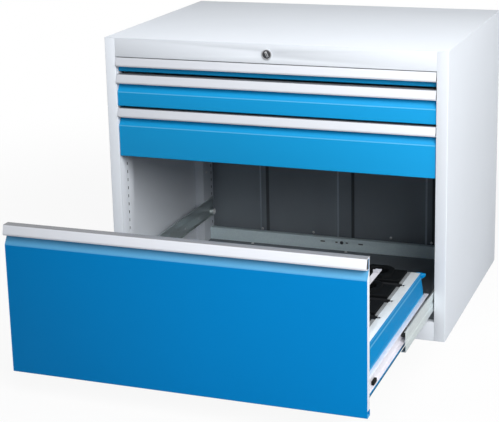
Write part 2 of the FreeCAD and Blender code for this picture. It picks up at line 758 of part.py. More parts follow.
def make_cabinet_rails(slide):
    """The fixed rails: channels hooked in the uprights. The heavy pair has a roller at
    its rear, on which the shut drawer docks."""
    thick = size.rail_sheet
    body = new_body(f"cabinet_rail_{slide.number}")
    sketch = new_sketch(body, "XZ_Plane", cab_rail_start)
    draw_outline(sketch, folded([
        (opening_half - size.cab_low_flange, slide.cab_low, 0, thick),
        (opening_half, slide.cab_low, -thick, thick),
        (opening_half, slide.cab_high, -thick, -thick),
        (opening_half - size.cab_top_flange, slide.cab_high, 0, -thick),
    ]))
    pad(body, sketch, cab_rail_long, reverse=True)
    tongue_start = opening_half + size.upright_sheet + size.hook_gap
    neck = new_sketch(body, "YZ_Plane", opening_half - thick / 2)
    tongue = new_sketch(body, "YZ_Plane", tongue_start)
    for place in (front_slots, rear_slots):
        for rise in slide.hooks:
            left = place - size.hook_wide / 2
            right = place + size.hook_wide / 2
            low = rise - size.hook_tall / 2
            high = rise + size.hook_tall / 2
            draw_box(neck, (left, low), (right, high))
            draw_box(tongue, (left, low - size.hook_drop), (right, high))
    pad(body, neck, thick / 2 + size.upright_sheet + size.hook_gap + size.hook_thick)
    pad(body, tongue, size.hook_thick)
    if slide.rolls:
        dock = new_sketch(body, "YZ_Plane", roller_start)
        draw_circle(dock,
                    mid_rail_end + size.dock_place,
                    slide.cab_low + thick + size.run_gap + size.heavy_dock / 2,
                    size.heavy_dock)
        pad(body, dock, cab_rail_in - roller_start)
    keep(pair(f"cabinet_rails_{slide.number}", body))


def make_slide_rails(slide):
    """The middle rails: beaded channels that run half as far as the drawer."""
    thick = size.rail_sheet
    deep = size.bead_deep
    middle = (slide.mid_low + slide.mid_high) / 2
    body = new_body(f"slide_rail_{slide.number}", slide.half_pulled)
    sketch = new_sketch(body, "XZ_Plane", mid_rail_start)
    draw_outline(sketch, folded([
        (mid_rail_out - size.mid_low_flange, slide.mid_low, 0, thick),
        (mid_rail_out, slide.mid_low, -thick, thick),
        (mid_rail_out, middle - slide.bead / 2, -thick, 0),
        (mid_rail_out - deep, middle - slide.bead / 2 + deep, -thick, 0),
        (mid_rail_out - deep, middle + slide.bead / 2 - deep, -thick, 0),
        (mid_rail_out, middle + slide.bead / 2, -thick, 0),
        (mid_rail_out, slide.mid_high, -thick, -thick),
        (mid_rail_out - size.mid_top_flange, slide.mid_high, 0, -thick),
    ]))
    pad(body, sketch, mid_rail_long, reverse=True)
    relief = new_sketch(body, "XY_Plane", slide.mid_low + thick / 2)
    draw_box(relief,
             (mid_rail_out - size.mid_low_flange - thick,
              mid_rail_end - size.roller_end - slide.reach - size.mid_start),
             (mid_web_in, mid_rail_end + thick))
    pocket(body, relief, 2 * thick, both=True)
    keep(pair(f"slide_rails_{slide.number}", body))


def make_runners(slide):
    """Two rollers or glides on each middle rail: the front one carries the drawer rail,
    and the rear one runs in the cabinet rail."""
    spots = [
        (mid_rail_start + size.roller_end,
         slide.drawer_high - size.rail_sheet - size.run_gap - slide.tall / 2),
        (mid_rail_end - size.roller_end,
         slide.cab_low + size.rail_sheet + size.run_gap + slide.tall / 2),
    ]
    label = "rollers" if slide.rolls else "glides"
    body = new_body(f"{label}_right_{slide.number}", slide.half_pulled)
    wheels = new_sketch(body, "YZ_Plane", roller_start)
    stubs = new_sketch(body, "YZ_Plane", roller_start + size.roller_wide / 2)
    for depth, rise in spots:
        slide.draw_runner(wheels, depth, rise)
        slide.draw_stub(stubs, depth, rise)
    pad(body, wheels, size.roller_wide)
    pad(body, stubs, mid_web_in - roller_start - size.roller_wide / 2)
    keep(pair(f"{label}_{slide.number}", body))


def make_drawer_rails(slide):
    """The rails on the drawer, each with a roller or a glide at its rear that runs in the
    middle rail."""
    thick = size.rail_sheet
    body = new_body(f"drawer_rail_{slide.number}", slide.pulled)
    sketch = new_sketch(body, "XZ_Plane", fronts_back)
    draw_outline(sketch, folded([
        (slide_in + size.drawer_top_flange, slide.drawer_high, 0, -thick),
        (slide_in, slide.drawer_high, thick, -thick),
        (slide_in, slide.drawer_low, thick, thick),
        (slide_in + size.drawer_low_flange, slide.drawer_low, 0, thick),
    ]))
    pad(body, sketch, drawer_rail_end - fronts_back, reverse=True)
    centre = drawer_rail_end - slide.reach - size.roller_in
    relief = new_sketch(body, "XY_Plane", slide.drawer_low + thick / 2)
    draw_box(relief,
             (drawer_web_out, centre - slide.reach - size.roller_in),
             (slide_in + size.drawer_low_flange + thick, drawer_rail_end + thick))
    pocket(body, relief, 2 * thick, both=True)
    rise = slide.mid_low + thick + size.run_gap + slide.tall / 2
    if slide.rolls:
        ear = new_sketch(body, "YZ_Plane", slide_in)
        draw_box(ear, (centre - slide.reach, rise - size.ear_drop),
                 (drawer_rail_end, slide.drawer_low + 2 * thick))
        pad(body, ear, thick)
    stub = new_sketch(body, "YZ_Plane", slide_in + thick / 2)
    slide.draw_stub(stub, centre, rise)
    pad(body, stub, size.roller_in + thick)
    wheel = new_sketch(body, "YZ_Plane", roller_start)
    slide.draw_runner(wheel, centre, rise)
    pad(body, wheel, size.roller_wide)
    keep(pair(f"drawer_rails_{slide.number}", body))


def slanted_face(number):
    """The visible face of a front from its top edge down to its lower edge."""
    recess = front + size.recess_set
    face = front + size.front_set
    high = place_top[number] - size.recess_tall
    return [
        (recess, place_top[number] - size.front_top_gap),
        (recess, high),
        (face, high - size.slant_tall),
        (face, place_low[number] + size.front_low_gap),
    ]


def make_low_fronts():
    """The pan-shaped fronts of drawers 1 to 3; the first is all recess behind its handle."""
    for number in (1, 2, 3):
        low = place_low[number] + size.front_low_gap
        corners = slanted_face(number)
        if number == 1:
            corners = [corners[0], (front + size.recess_set, low)]
        body = new_body(f"front_{number}")
        sketch = new_sketch(body, "YZ_Plane", 0)
        draw_outline(sketch, corners + [
            (fronts_back, low),
            (fronts_back, place_top[number] - size.front_top_gap),
        ])
        pad(body, sketch, 2 * front_half, both=True)
        round_edges(body, "X", [corners[-1]], size.front_fold)
        hollow(body, "Y", fronts_back, size.front_sheet)
        keep(body)


def make_tall_front():
    """The tall front of drawer 4: one sheet folded back and up along its lower edge."""
    thick = size.front_sheet
    step = size.recess_set - size.front_set
    bend = thick * step / (root_of_squares(step, size.slant_tall) + size.slant_tall)
    top, recess, slant, low = slanted_face(4)
    body = new_body("front_4", extension)
    sketch = new_sketch(body, "YZ_Plane", 0)
    draw_outline(sketch, folded([
        (*top, thick, 0),
        (*recess, thick, -bend),
        (*slant, thick, -bend),
        (*low, thick, thick),
        (fronts_back, low[1], -thick, thick),
        (fronts_back, low[1] + size.front_lip, -thick, 0),
    ]))
    pad(body, sketch, 2 * front_half, both=True)
    round_edges(body, "X", [low, (fronts_back, low[1])], size.front_fold)
    round_edges(body, "X", [(low[0] + thick, low[1] + thick),
                            (fronts_back - thick, low[1] + thick)],
                size.front_fold - thick)
    keep(body)


def make_backing():
    """The light inner pan behind the tall front, trimmed to the front's slanted strip."""
    thick = size.front_sheet
    step = size.recess_set - size.front_set
    bend = thick * step / (root_of_squares(step, size.slant_tall) + size.slant_tall)
    top, recess, slant, low = slanted_face(4)
    body = new_body("front_backing_4", extension)
    sketch = new_sketch(body, "YZ_Plane", 0)
    draw_outline(sketch, [
        (fronts_back, low[1] + size.front_lip),
        (fronts_back, top[1]),
        (top[0] + thick, top[1]),
        (recess[0] + thick, recess[1] - bend),
        (slant[0] + thick, slant[1] - bend),
        (slant[0] + thick, low[1] + size.front_lip),
    ])
    pad(body, sketch, 2 * (front_half - size.backing_step), both=True)
    hollow(body, "Y", slant[0] + thick, thick)
    keep(body)


def make_handles():
    """The aluminium strips along the tops of the fronts, a hollow section open to the back."""
    wall = size.handle_wall
    for number in (1, 2, 3, 4):
        high = place_top[number] - size.handle_top_gap
        crest = (front + size.handle_crest, high)
        lip = (front - size.handle_out, high - size.handle_face)
        under = (lip[0] + size.handle_lip_set, lip[1] - size.handle_lip)
        seat = front + size.recess_set
        body = new_body(f"handle_{number}", extension if number == 4 else None)
        sketch = new_sketch(body, "YZ_Plane", 0)
        draw_outline(sketch, [
            (front + size.handle_back, high),
            crest,
            lip,
            under,
            (seat, under[1] - size.handle_under),
            (seat, under[1] - size.handle_under + wall),
            (under[0] + wall, under[1] + wall),
            (lip[0] + wall, lip[1]),
            (crest[0] + wall, high - wall),
            (front + size.handle_back, high - wall),
        ])
        pad(body, sketch, 2 * front_half, both=True)
        round_edges(body, "X", [crest, lip, under], size.handle_round)
        keep(body)


def make_trays():
    """The open trays of drawers 1 to 3."""
    for number in (1, 2, 3):
        floor = place_low[number] + size.tray_rise
        rim = place_top[number] - size.tray_top_gap
        body = new_body(f"tray_{number}")
        sketch = new_sketch(body, "XY_Plane", floor)
        draw_box(sketch, (-slide_in, fronts_back),
                 (slide_in, drawer_rail_end - size.tray_end))
        pad(body, sketch, rim - floor)
        hollow(body, "Z", rim, size.front_sheet)
        keep(body)


side_high = place_low[4] + size.side_top
side_crown = slide_in - size.side_crown
side_end = drawer_rail_end - size.side_end


def make_frame_sides():
    """The folded sides of drawer 4, drawn in at the waist, with windows below the rail."""
    thick = size.front_sheet
    base = place_low[4]
    body = new_body("frame_side_right", extension)
    sketch = new_sketch(body, "XZ_Plane", fronts_back)
    draw_outline(sketch, folded([
        (side_crown - size.side_flange, side_high, 0, -thick),
        (side_crown, side_high, -thick, -thick),
        (slide_in - size.side_waist, base + size.waist_rise, -thick, 0),
        (slide_in, base + size.band_rise, -thick, 0),
        (slide_in, base + size.side_bottom, -thick, thick),
        (slide_in - size.side_foot, base + size.side_bottom, 0, thick),
    ]))
    pad(body, sketch, side_end - fronts_back, reverse=True)
    windows = new_sketch(body, "YZ_Plane", slide_in)
    low = base + size.window_rise - size.window_tall / 2
    high = base + size.window_rise + size.window_tall / 2
    for place in (size.window_place_1, size.window_place_2,
                  size.window_place_3, size.window_place_4):
        draw_octagon(windows,
                     (front + place - size.window_wide / 2, low),
                     (front + place + size.window_wide / 2, high),
                     size.window_corner)
    pocket(body, windows, 4 * thick, both=True)
    keep(body)
    keep(mirror(body, "frame_side_left"))


def make_rear_bar():
    """The channel that joins the frame's sides at the back."""
    thick = size.front_sheet
    start = side_end - size.rear_bar_deep
    low = place_low[4] + size.rear_bar_rise
    high = low + size.rear_bar_tall
    body = new_body("frame_rear_bar", extension)
    sketch = new_sketch(body, "YZ_Plane", 0)
    draw_outline(sketch, folded([
        (start, low, 0, thick),
        (side_end, low, -thick, thick),
        (side_end, high, -thick, -thick),
        (start, high, 0, -thick),
    ]))
    pad(body, sketch, 2 * (slide_in - thick), both=True)
    keep(body)


strip_high = side_high + size.carcase_sheet
strip_out = slide_in - size.strip_in
strip_face = strip_out - size.strip_wide
ledge_high = strip_high - size.strip_drop
strip_end = side_end - size.strip_end
first_notch = front + size.notch_first
carrier_pitch = (
    (strip_end - size.carrier_end - size.carrier_deep / 2 - first_notch)
    / (size.carrier_count - 0.5))


def make_tool_rails():
    """The notched rails on top of the frame's sides, each with a ledge for the carriers."""
    thick = size.carcase_sheet
    body = new_body("tool_rail", extension)
    sketch = new_sketch(body, "XZ_Plane", fronts_back)
    draw_outline(sketch, folded([
        (strip_out, strip_high, 0, -thick),
        (strip_face, strip_high, thick, -thick),
        (strip_face, ledge_high, thick, -thick),
        (strip_face - size.ledge_wide, ledge_high, 0, -thick),
    ]))
    pad(body, sketch, strip_end - fronts_back, reverse=True)
    notch = new_sketch(body, "XY_Plane", strip_high)
    draw_box(notch,
             (strip_face - thick, first_notch - size.notch_wide / 2),
             (strip_face + size.notch_deep, first_notch + size.notch_wide / 2))
    cut = pocket(body, notch, size.notch_drop)
    repeat(body, [cut], (notch, ["V_Axis"]), carrier_pitch, size.carrier_count)
    keep(pair("tool_rails", body))


carrier_half = strip_face - size.carrier_gap
first_carrier = first_notch + carrier_pitch / 2


def make_tool_carriers():
    """The trays that hang between the tool rails, a row of them across the drawer."""
    thick = size.carrier_sheet
    high = ledge_high + size.carrier_tall
    near = first_carrier - size.carrier_deep / 2
    far = first_carrier + size.carrier_deep / 2
    body = new_body("tool_carriers", extension)
    channel = new_sketch(body, "YZ_Plane", 0)
    draw_outline(channel, folded([
        (near, high, thick, 0),
        (near, ledge_high, thick, thick),
        (far, ledge_high, -thick, thick),
        (far, high, -thick, 0),
    ]))
    pieces = [pad(body, channel, 2 * carrier_half, both=True)]
    for start in (-carrier_half, carrier_half - thick):
        cap = new_sketch(body, "YZ_Plane", start)
        draw_box(cap, (near, ledge_high), (far, high))
        pieces.append(pad(body, cap, thick))
    for start in (-carrier_half, carrier_half - size.carrier_flange):
        flange = new_sketch(body, "YZ_Plane", start)
        draw_box(flange, (near, high - thick), (far, high))
        pieces.append(pad(body, flange, size.carrier_flange))
    repeat(body, pieces, (channel, ["H_Axis"]), carrier_pitch, size.carrier_count)
    keep(body)


def make_tool_inserts():
    """The black inserts of the carriers, each with a row of sockets in raised collars."""
    floor = ledge_high + size.carrier_sheet
    high = floor + size.insert_tall
    half = carrier_half - size.carrier_flange - size.insert_gap
    reach = size.carrier_deep / 2 - size.carrier_sheet - size.insert_gap
    gaps = whole((2 * half - size.collar_wide) / size.socket_pitch)
    first = -(gaps * size.socket_pitch / 2)
    for row in range(int(size.carrier_count.value)):
        centre = first_carrier + row * carrier_pitch
        body = new_body(f"tool_inserts_{row + 1}", extension)
        block = new_sketch(body, "XY_Plane", floor)
        draw_box(block, (-half, centre - reach), (half, centre + reach))
        pad(body, block, size.insert_tall)
        round_edges(body, "X", [(centre - reach, high), (centre + reach, high)],
                    size.insert_round)
        collar = new_sketch(body, "XY_Plane", high - size.insert_round)
        draw_octagon(collar,
                     (first - size.collar_wide / 2, centre - size.collar_wide / 2),
                     (first + size.collar_wide / 2, centre + size.collar_wide / 2),
                     size.collar_corner)
        ring = pad(body, collar, size.collar_tall + size.insert_round)
        mouth = new_sketch(body, "XY_Plane", high + size.collar_tall)
        draw_many_sided(mouth, first, centre, size.socket_wide)
        bore = pocket(body, mouth, size.insert_tall + size.collar_tall)
        repeat(body, [ring, bore], (mouth, ["H_Axis"]), size.socket_pitch, gaps + 1)
        keep(body)


def make_buffers(slide):
    """The black buffers in the front ends of drawer 4's rails."""
    low = slide.drawer_low + size.buffer_rise
    start = front + size.buffer_place
    body = new_body("buffer_4", extension)
    sketch = new_sketch(body, "YZ_Plane", drawer_web_out)
    draw_box(sketch, (start, low), (start + size.buffer_long, low + size.buffer_tall))
    pad(body, sketch, size.buffer_wide)
    keep(pair("drawer_buffers_4", body))


catch_start = front + size.catch_place
catch_out = opening_half - size.catch_side_gap


def catch_foot(number, slides):
    """The height of the foot of a drawer's catch."""
    if number == 4:
        return place_top[4] - size.catch_4_drop
    return slides[number].drawer_high


def make_catches(slides):
    """The hooks that the lock bar's teeth hold: on the right drawer rail, and for the
    tall drawer on a gusset behind its front."""
    thick = size.catch_sheet
    end = catch_start + size.catch_long
    for number in (1, 2, 3, 4):
        foot = catch_foot(number, slides)
        body = new_body(f"lock_catch_{number}", slides[number].pulled)
        hook = new_sketch(body, "YZ_Plane", drawer_web_out)
        draw_outline(hook, folded([
            (end, foot, 0, thick),
            (catch_start, foot, thick, thick),
            (catch_start, foot + size.catch_tall, thick, 0),
        ]))
        pad(body, hook, catch_out - drawer_web_out)
        if number == 4:
            shelf = new_sketch(body, "YZ_Plane", drawer_web_out)
            draw_box(shelf, (fronts_back, foot - thick), (end, foot))
            pad(body, shelf, catch_out - drawer_web_out)
            gusset = new_sketch(body, "YZ_Plane", drawer_web_out)
            draw_outline(gusset, [
                (fronts_back, foot),
                (end, foot),
                (catch_start, foot - size.gusset_nose),
                (fronts_back, foot - size.gusset_tall),
            ])
            pad(body, gusset, thick)
        keep(body)


rod_start = front + size.barrel_long + size.cam_thick + size.rod_gap
rod_end = panel_inner - size.rod_head_gap
rod_z = lock_z - size.rod_drop
cam_radius = size.bar_stroke / math.sqrt(2)
cam_side = size.bar_stroke / 2
bar_start = catch_start - size.bar_gap - size.bar_wide
bar_in = opening_half + size.bar_out
bar_high = rod_z + size.rod_head_tall / 2
stirrup_place = opening_half - size.stirrup_in
pin_x = bar_in + size.bar_thick / 2


def make_lock_housing():
    """The bezel and the shank of the lock, turned about the barrel's axis."""
    bore = size.shank_bore / 2
    body = new_body("lock_housing")
    body.setExpression(".Placement.Base.x", lock_x.text)
    body.setExpression(".Placement.Base.z", lock_z.text)
    sketch = new_sketch(body, "XY_Plane", 0)
    draw_outline(sketch, [
        (bore, front - size.bezel_floor),
        (size.bezel_bore / 2, front - size.bezel_floor),
        (size.bezel_bore / 2, front - size.bezel_out),
        (size.bezel_wide / 2, front - size.bezel_out),
        (size.bezel_wide / 2, front),
        (size.shank_wide / 2, front),
        (size.shank_wide / 2, front + size.shank_long),
        (bore, front + size.shank_long),
    ])
    turn = body.newObject("PartDesign::Revolution", "Turn")
    turn.Profile = sketch
    turn.ReferenceAxis = (sketch, ["V_Axis"])
    return body


def make_lock_barrel():
    """The barrel: a round head with a slanted keyway, and a square tail for the cam."""
    face = front - size.bezel_out + size.barrel_head_set
    seat = front - size.bezel_floor - size.barrel_gap
    half = size.barrel_tail / 2
    body = new_body("lock_barrel")
    head = new_sketch(body, "XZ_Plane", face)
    draw_circle(head, lock_x, lock_z, size.bezel_bore - 2 * size.barrel_gap)
    pad(body, head, seat - face, reverse=True)
    tail = new_sketch(body, "XZ_Plane", seat)
    draw_box(tail, (lock_x - half, lock_z - half), (lock_x + half, lock_z + half))
    pad(body, tail, front + size.barrel_long - seat, reverse=True)
    keyway = new_sketch(body, "XZ_Plane", face)
    draw_incline(keyway,
                 (lock_x - size.keyway_reach, lock_z + size.keyway_reach),
                 (lock_x + size.keyway_reach, lock_z - size.keyway_reach),
                 size.keyway_corner)
    pocket(body, keyway, size.keyway_deep)
    keep(body)


def make_lock_cam():
    """The cam behind the barrel, with the pin that moves the rod."""
    start = front + size.barrel_long
    body = new_body("lock_cam")
    sketch = new_sketch(body, "XZ_Plane", start)
    draw_incline(sketch, (lock_x, lock_z), (lock_x + cam_side, lock_z - cam_side),
                 size.cam_corner)
    pad(body, sketch, size.cam_thick, reverse=True)
    pin = new_sketch(body, "XZ_Plane", start + size.cam_thick / 2)
    draw_circle(pin, lock_x + cam_side, lock_z - cam_side, size.cam_pin)
    pad(body, pin, size.cam_thick / 2 + 2 * size.rod_gap + size.rod_thick, reverse=True)
    keep(body)


def make_lock_rod():
    """The rod behind the lock rail: an upright slot for the cam's pin, and an inclined
    slot that lowers the lock bar."""
    room = size.cam_pin / 2 + size.pin_gap
    neck = rod_end - size.rod_head_long
    low = rod_z - size.rod_tall / 2
    high = rod_z + size.rod_tall / 2
    body = new_body("lock_rod")
    sketch = new_sketch(body, "XZ_Plane", rod_start)
    draw_outline(sketch, [
        (lock_x - size.rod_tail, low),
        (neck, low),
        (neck, rod_z - size.rod_head_tall / 2),
        (rod_end, rod_z - size.rod_head_tall / 2),
        (rod_end, rod_z + size.rod_head_tall / 2),
        (neck, rod_z + size.rod_head_tall / 2),
        (neck, high),
        (lock_x - size.rod_tail, high),
    ])
    pad(body, sketch, size.rod_thick, reverse=True)
    slots = new_sketch(body, "XZ_Plane", rod_start)
    draw_box(slots,
             (lock_x + cam_side - room, lock_z - cam_radius - room),
             (lock_x + cam_side + room, lock_z - cam_side + room))
    draw_incline(slots,
                 (pin_x, rod_z + size.bar_stroke / 2),
                 (pin_x + size.bar_stroke, rod_z - size.bar_stroke / 2),
                 room * math.sqrt(2))
    pocket(body, slots, 4 * size.rod_thick, both=True)
    keep(body)


def make_lock_bar(slides):
    """The upright bar behind the right front upright, and a tooth over each catch."""
    thick = size.bar_thick
    arm_front = rod_start + size.rod_thick + size.arm_gap
    arm_low = bar_high - size.bar_arm_tall
    bar_low = catch_foot(4, slides) - size.bar_tail
    pin_z = rod_z + size.bar_stroke / 2
    end = bar_start + size.bar_wide
    body = new_body("lock_bar")
    sketch = new_sketch(body, "YZ_Plane", bar_in)
    draw_outline(sketch, [
        (bar_start, bar_low),
        (end, bar_low),
        (end, bar_high),
        (arm_front, bar_high),
        (arm_front, arm_low),
        (bar_start, arm_low),
    ])
    pad(body, sketch, thick)
    pin = new_sketch(body, "XZ_Plane", arm_front + thick / 2)
    draw_circle(pin, bar_in + thick / 2, pin_z, size.cam_pin)
    pad(body, pin, thick / 2 + size.pin_reach)
    keep(body)
    body = new_body("lock_teeth")
    teeth = new_sketch(body, "YZ_Plane", bar_in - size.tooth_reach)
    for number in (1, 2, 3, 4):
        low = catch_foot(number, slides) + size.tooth_gap + size.bar_stroke
        draw_box(teeth, (bar_start, low), (end, low + size.tooth_tall))
    pad(body, teeth, size.tooth_reach)
    keep(body)


def make_lock_fittings(slides):
    """The fixed parts of the lock: its housing, two guides for the lock bar on the side
    panel, and a stirrup for the lock rod."""
    gap = size.guide_gap
    wall = size.guide_wall
    pieces = [make_lock_housing()]
    for name, height in (("low", catch_foot(4, slides) + size.low_guide_rise),
                         ("high", catch_foot(2, slides) + size.high_guide_rise)):
        body = new_body(f"bar_guide_{name}")
        block = new_sketch(body, "XY_Plane", height)
        draw_box(block,
                 (bar_in - gap - wall, bar_start - gap - wall),
                 (panel_inner, bar_start + size.bar_wide + gap + wall))
        pad(body, block, size.guide_tall)
        hole = new_sketch(body, "XY_Plane", height)
        draw_box(hole,
                 (bar_in - gap, bar_start - gap),
                 (bar_in + size.bar_thick + gap, bar_start + size.bar_wide + gap))
        pocket(body, hole, size.guide_tall, reverse=True)
        pieces.append(body)
    body = new_body("rod_stirrup")
    block = new_sketch(body, "XZ_Plane", rod_start - gap - wall)
    low = rod_z - size.rod_tall / 2 - gap
    draw_box(block,
             (stirrup_place - size.stirrup_wide / 2, low - wall),
             (stirrup_place + size.stirrup_wide / 2, top_under))
    pad(body, block, size.rod_thick + 2 * (gap + wall), reverse=True)
    hole = new_sketch(body, "YZ_Plane", stirrup_place)
    draw_box(hole,
             (rod_start - gap, low),
             (rod_start + size.rod_thick + gap, rod_z + size.rod_tall / 2 + gap))
    pocket(body, hole, 2 * size.stirrup_wide, both=True)
    pieces.append(body)
    keep(gather("lock_fittings", pieces))


def check_document():
    """Stop on any failed object, on a pocket that cuts nothing and on a bad shape."""
    for item in doc.Objects:
        if "Invalid" in item.State or "Error" in item.State:
            raise RuntimeError(f"{item.Label} failed: {item.State}")
    for before, cut in cuts:
        if cut.Shape.Volume > before.Shape.Volume - TOUCH:
            raise RuntimeError(f"{cut.Label} cuts nothing")
    for piece in nodes:
        if piece.Shape.isNull() or not piece.Shape.isValid() or not piece.Shape.Solids:
            raise RuntimeError(f"{piece.Label} has no valid solid")


def main():
    """Build every piece, check it and write it."""
    make_side_panels()
    make_top_panel()
    make_lock_rail()
    make_base_rail()
    make_floor_pan()
    make_rear_panel()
    make_rear_rail()
    make_upright("upright_front", front + size.flange_return + sheet,
                 size.front_upright_deep, front_slots)
    make_upright("upright_rear", half_depth - size.rear_upright_back - size.rear_upright_deep,
                 size.rear_upright_deep, rear_slots)
    slides = {number: Slide(number) for number in (1, 2, 3, 4)}
    for slide in slides.values():
        make_cabinet_rails(slide)
        make_slide_rails(slide)
        make_runners(slide)
        make_drawer_rails(slide)
    make_low_fronts()
    make_tall_front()
    make_backing()
    make_handles()
    make_trays()
    make_frame_sides()
    make_rear_bar()
    make_tool_rails()
    make_tool_carriers()
    make_tool_inserts()
    make_buffers(slides[4])
    make_catches(slides)
    make_lock_barrel()
    make_lock_cam()
    make_lock_rod()
    make_lock_bar(slides)
    make_lock_fittings(slides)
    doc.recompute()
    check_document()
    os.makedirs("parts", exist_ok=True)
    for piece in nodes:
        piece.Shape.exportStep(f"parts/{piece.Label}.step")
    print(f"{len(nodes)} pieces written")


main()
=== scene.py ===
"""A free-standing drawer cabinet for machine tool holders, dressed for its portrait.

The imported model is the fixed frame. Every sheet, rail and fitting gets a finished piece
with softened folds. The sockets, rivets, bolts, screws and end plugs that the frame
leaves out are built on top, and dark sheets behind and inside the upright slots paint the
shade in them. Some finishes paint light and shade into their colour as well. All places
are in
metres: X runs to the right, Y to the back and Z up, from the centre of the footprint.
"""

from __future__ import annotations

import logging
import math
from dataclasses import dataclass
from enum import Enum
from typing import Any, Iterable, Mapping, Sequence

import bmesh
import bpy
from mathutils import Matrix, Vector

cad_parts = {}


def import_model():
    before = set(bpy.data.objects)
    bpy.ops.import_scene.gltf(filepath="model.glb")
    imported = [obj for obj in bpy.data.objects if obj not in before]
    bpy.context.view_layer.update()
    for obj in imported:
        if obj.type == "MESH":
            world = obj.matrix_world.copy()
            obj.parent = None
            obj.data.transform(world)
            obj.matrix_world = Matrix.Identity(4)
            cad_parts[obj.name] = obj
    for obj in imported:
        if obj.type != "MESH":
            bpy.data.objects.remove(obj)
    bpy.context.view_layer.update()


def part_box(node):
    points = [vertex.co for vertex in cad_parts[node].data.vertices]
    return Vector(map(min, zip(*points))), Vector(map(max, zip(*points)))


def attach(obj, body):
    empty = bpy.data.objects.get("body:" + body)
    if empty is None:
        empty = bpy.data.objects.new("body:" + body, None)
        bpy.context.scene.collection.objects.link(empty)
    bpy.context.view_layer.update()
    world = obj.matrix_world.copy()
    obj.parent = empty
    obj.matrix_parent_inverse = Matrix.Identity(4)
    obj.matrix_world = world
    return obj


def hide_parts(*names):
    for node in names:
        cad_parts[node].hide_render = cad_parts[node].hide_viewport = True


LOG = logging.getLogger("cabinet")

Piece = bpy.types.Object
Work = bmesh.types.BMesh
Point = tuple[float, float, float]
Flat = tuple[float, float]
Colour = tuple[float, float, float]
Step = tuple[int, Point]

ORIGIN: Point = (0.0, 0.0, 0.0)
WHITE: Colour = (1.0, 1.0, 1.0)


class Axis(Enum):
    """The three axes, by their place in a point."""

    X = 0
    Y = 1
    Z = 2

    @property
    def others(self) -> list[int]:
        """The places of the two other axes."""
        return [index for index in range(3) if index != self.value]


class Side(Enum):
    """The two sides, by the sign of X."""

    RIGHT = 1.0
    LEFT = -1.0

    @property
    def word(self) -> str:
        """The side as it stands in the names of nodes and pieces."""
        return self.name.lower()

    def face(self, node: str, outer: bool) -> float:
        """The X of a node's face on this side.

        Args:
            node: The node's name.
            outer: Whether it is the face turned away from the middle.

        Returns:
            The X.
        """
        low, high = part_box(node)
        return high.x if (self is Side.RIGHT) == outer else low.x


class Grain(Enum):
    """How the marks of a metal run, as the scale of each axis."""

    EVEN = (1.0, 1.0, 1.0)
    ACROSS = (1.0, 60.0, 60.0)
    DEEP = (60.0, 1.0, 60.0)
    UPRIGHT = (60.0, 60.0, 1.0)


# ---- node trees


class Tree:
    """A node tree, and the one method that adds nodes to it."""

    def __init__(self, tree: bpy.types.NodeTree) -> None:
        """Take a tree in hand.

        Args:
            tree: The tree.
        """
        self.tree = tree

    def node(
        self, kind: str, settings: Mapping[str, Any], inputs: Mapping[Any, Any]
    ) -> Any:
        """Add one node.

        Args:
            kind: The node's type.
            settings: Attributes that are set first.
            inputs: Values, nodes, sockets or signals by input name or number.

        Returns:
            The node.
        """
        node = self.tree.nodes.new(kind)
        for name, value in settings.items():
            setattr(node, name, value)
        for name, value in inputs.items():
            socket = node.inputs[name]
            if isinstance(value, bpy.types.Node):
                value = value.outputs[0]
            elif isinstance(value, Signal):
                value = value.socket
            if isinstance(value, bpy.types.NodeSocket):
                self.tree.links.new(value, socket)
            elif isinstance(value, tuple) and socket.type == "RGBA":
                socket.default_value = (*value, 1.0)
            else:
                socket.default_value = value
        return node


class Signal:
    """A shader socket that can be used in Python expressions."""

    def __init__(self, bench: "Bench", socket: Any) -> None:
        """Wrap a socket.

        Args:
            bench: The material bench that adds nodes.
            socket: The output socket that carries the number.
        """
        self.bench = bench
        self.socket = socket

    def _combine(self, operation: str, first: Any, second: Any) -> "Signal":
        """Add a Math node.

        Args:
            operation: The Math node's operation.
            first: A signal or a number.
            second: A signal or a number.

        Returns:
            The result as a signal.
        """
        node = self.bench.node(
            "ShaderNodeMath", {"operation": operation}, {0: first, 1: second}
        )
        return Signal(self.bench, node.outputs[0])

    def __add__(self, other: Any) -> "Signal":
        """Sum."""
        return self._combine("ADD", self, other)

    __radd__ = __add__

    def __mul__(self, other: Any) -> "Signal":
        """Product."""
        return self._combine("MULTIPLY", self, other)

    __rmul__ = __mul__

    def __sub__(self, other: Any) -> "Signal":
        """Difference."""
        return self._combine("SUBTRACT", self, other)

    def __rsub__(self, other: Any) -> "Signal":
        """Difference from a number."""
        return self._combine("SUBTRACT", other, self)

    def above(self, edge: float, width: float) -> "Signal":
        """A soft step.

        Args:
            edge: The value at which the step starts.
            width: How far it takes to reach one.

        Returns:
            Zero below the edge, one above edge plus width.
        """
        node = self.bench.node(
            "ShaderNodeMapRange",
            {"interpolation_type": "SMOOTHSTEP"},
            {"Value": self, "From Min": edge, "From Max": edge + width},
        )
        return Signal(self.bench, node.outputs["Result"])


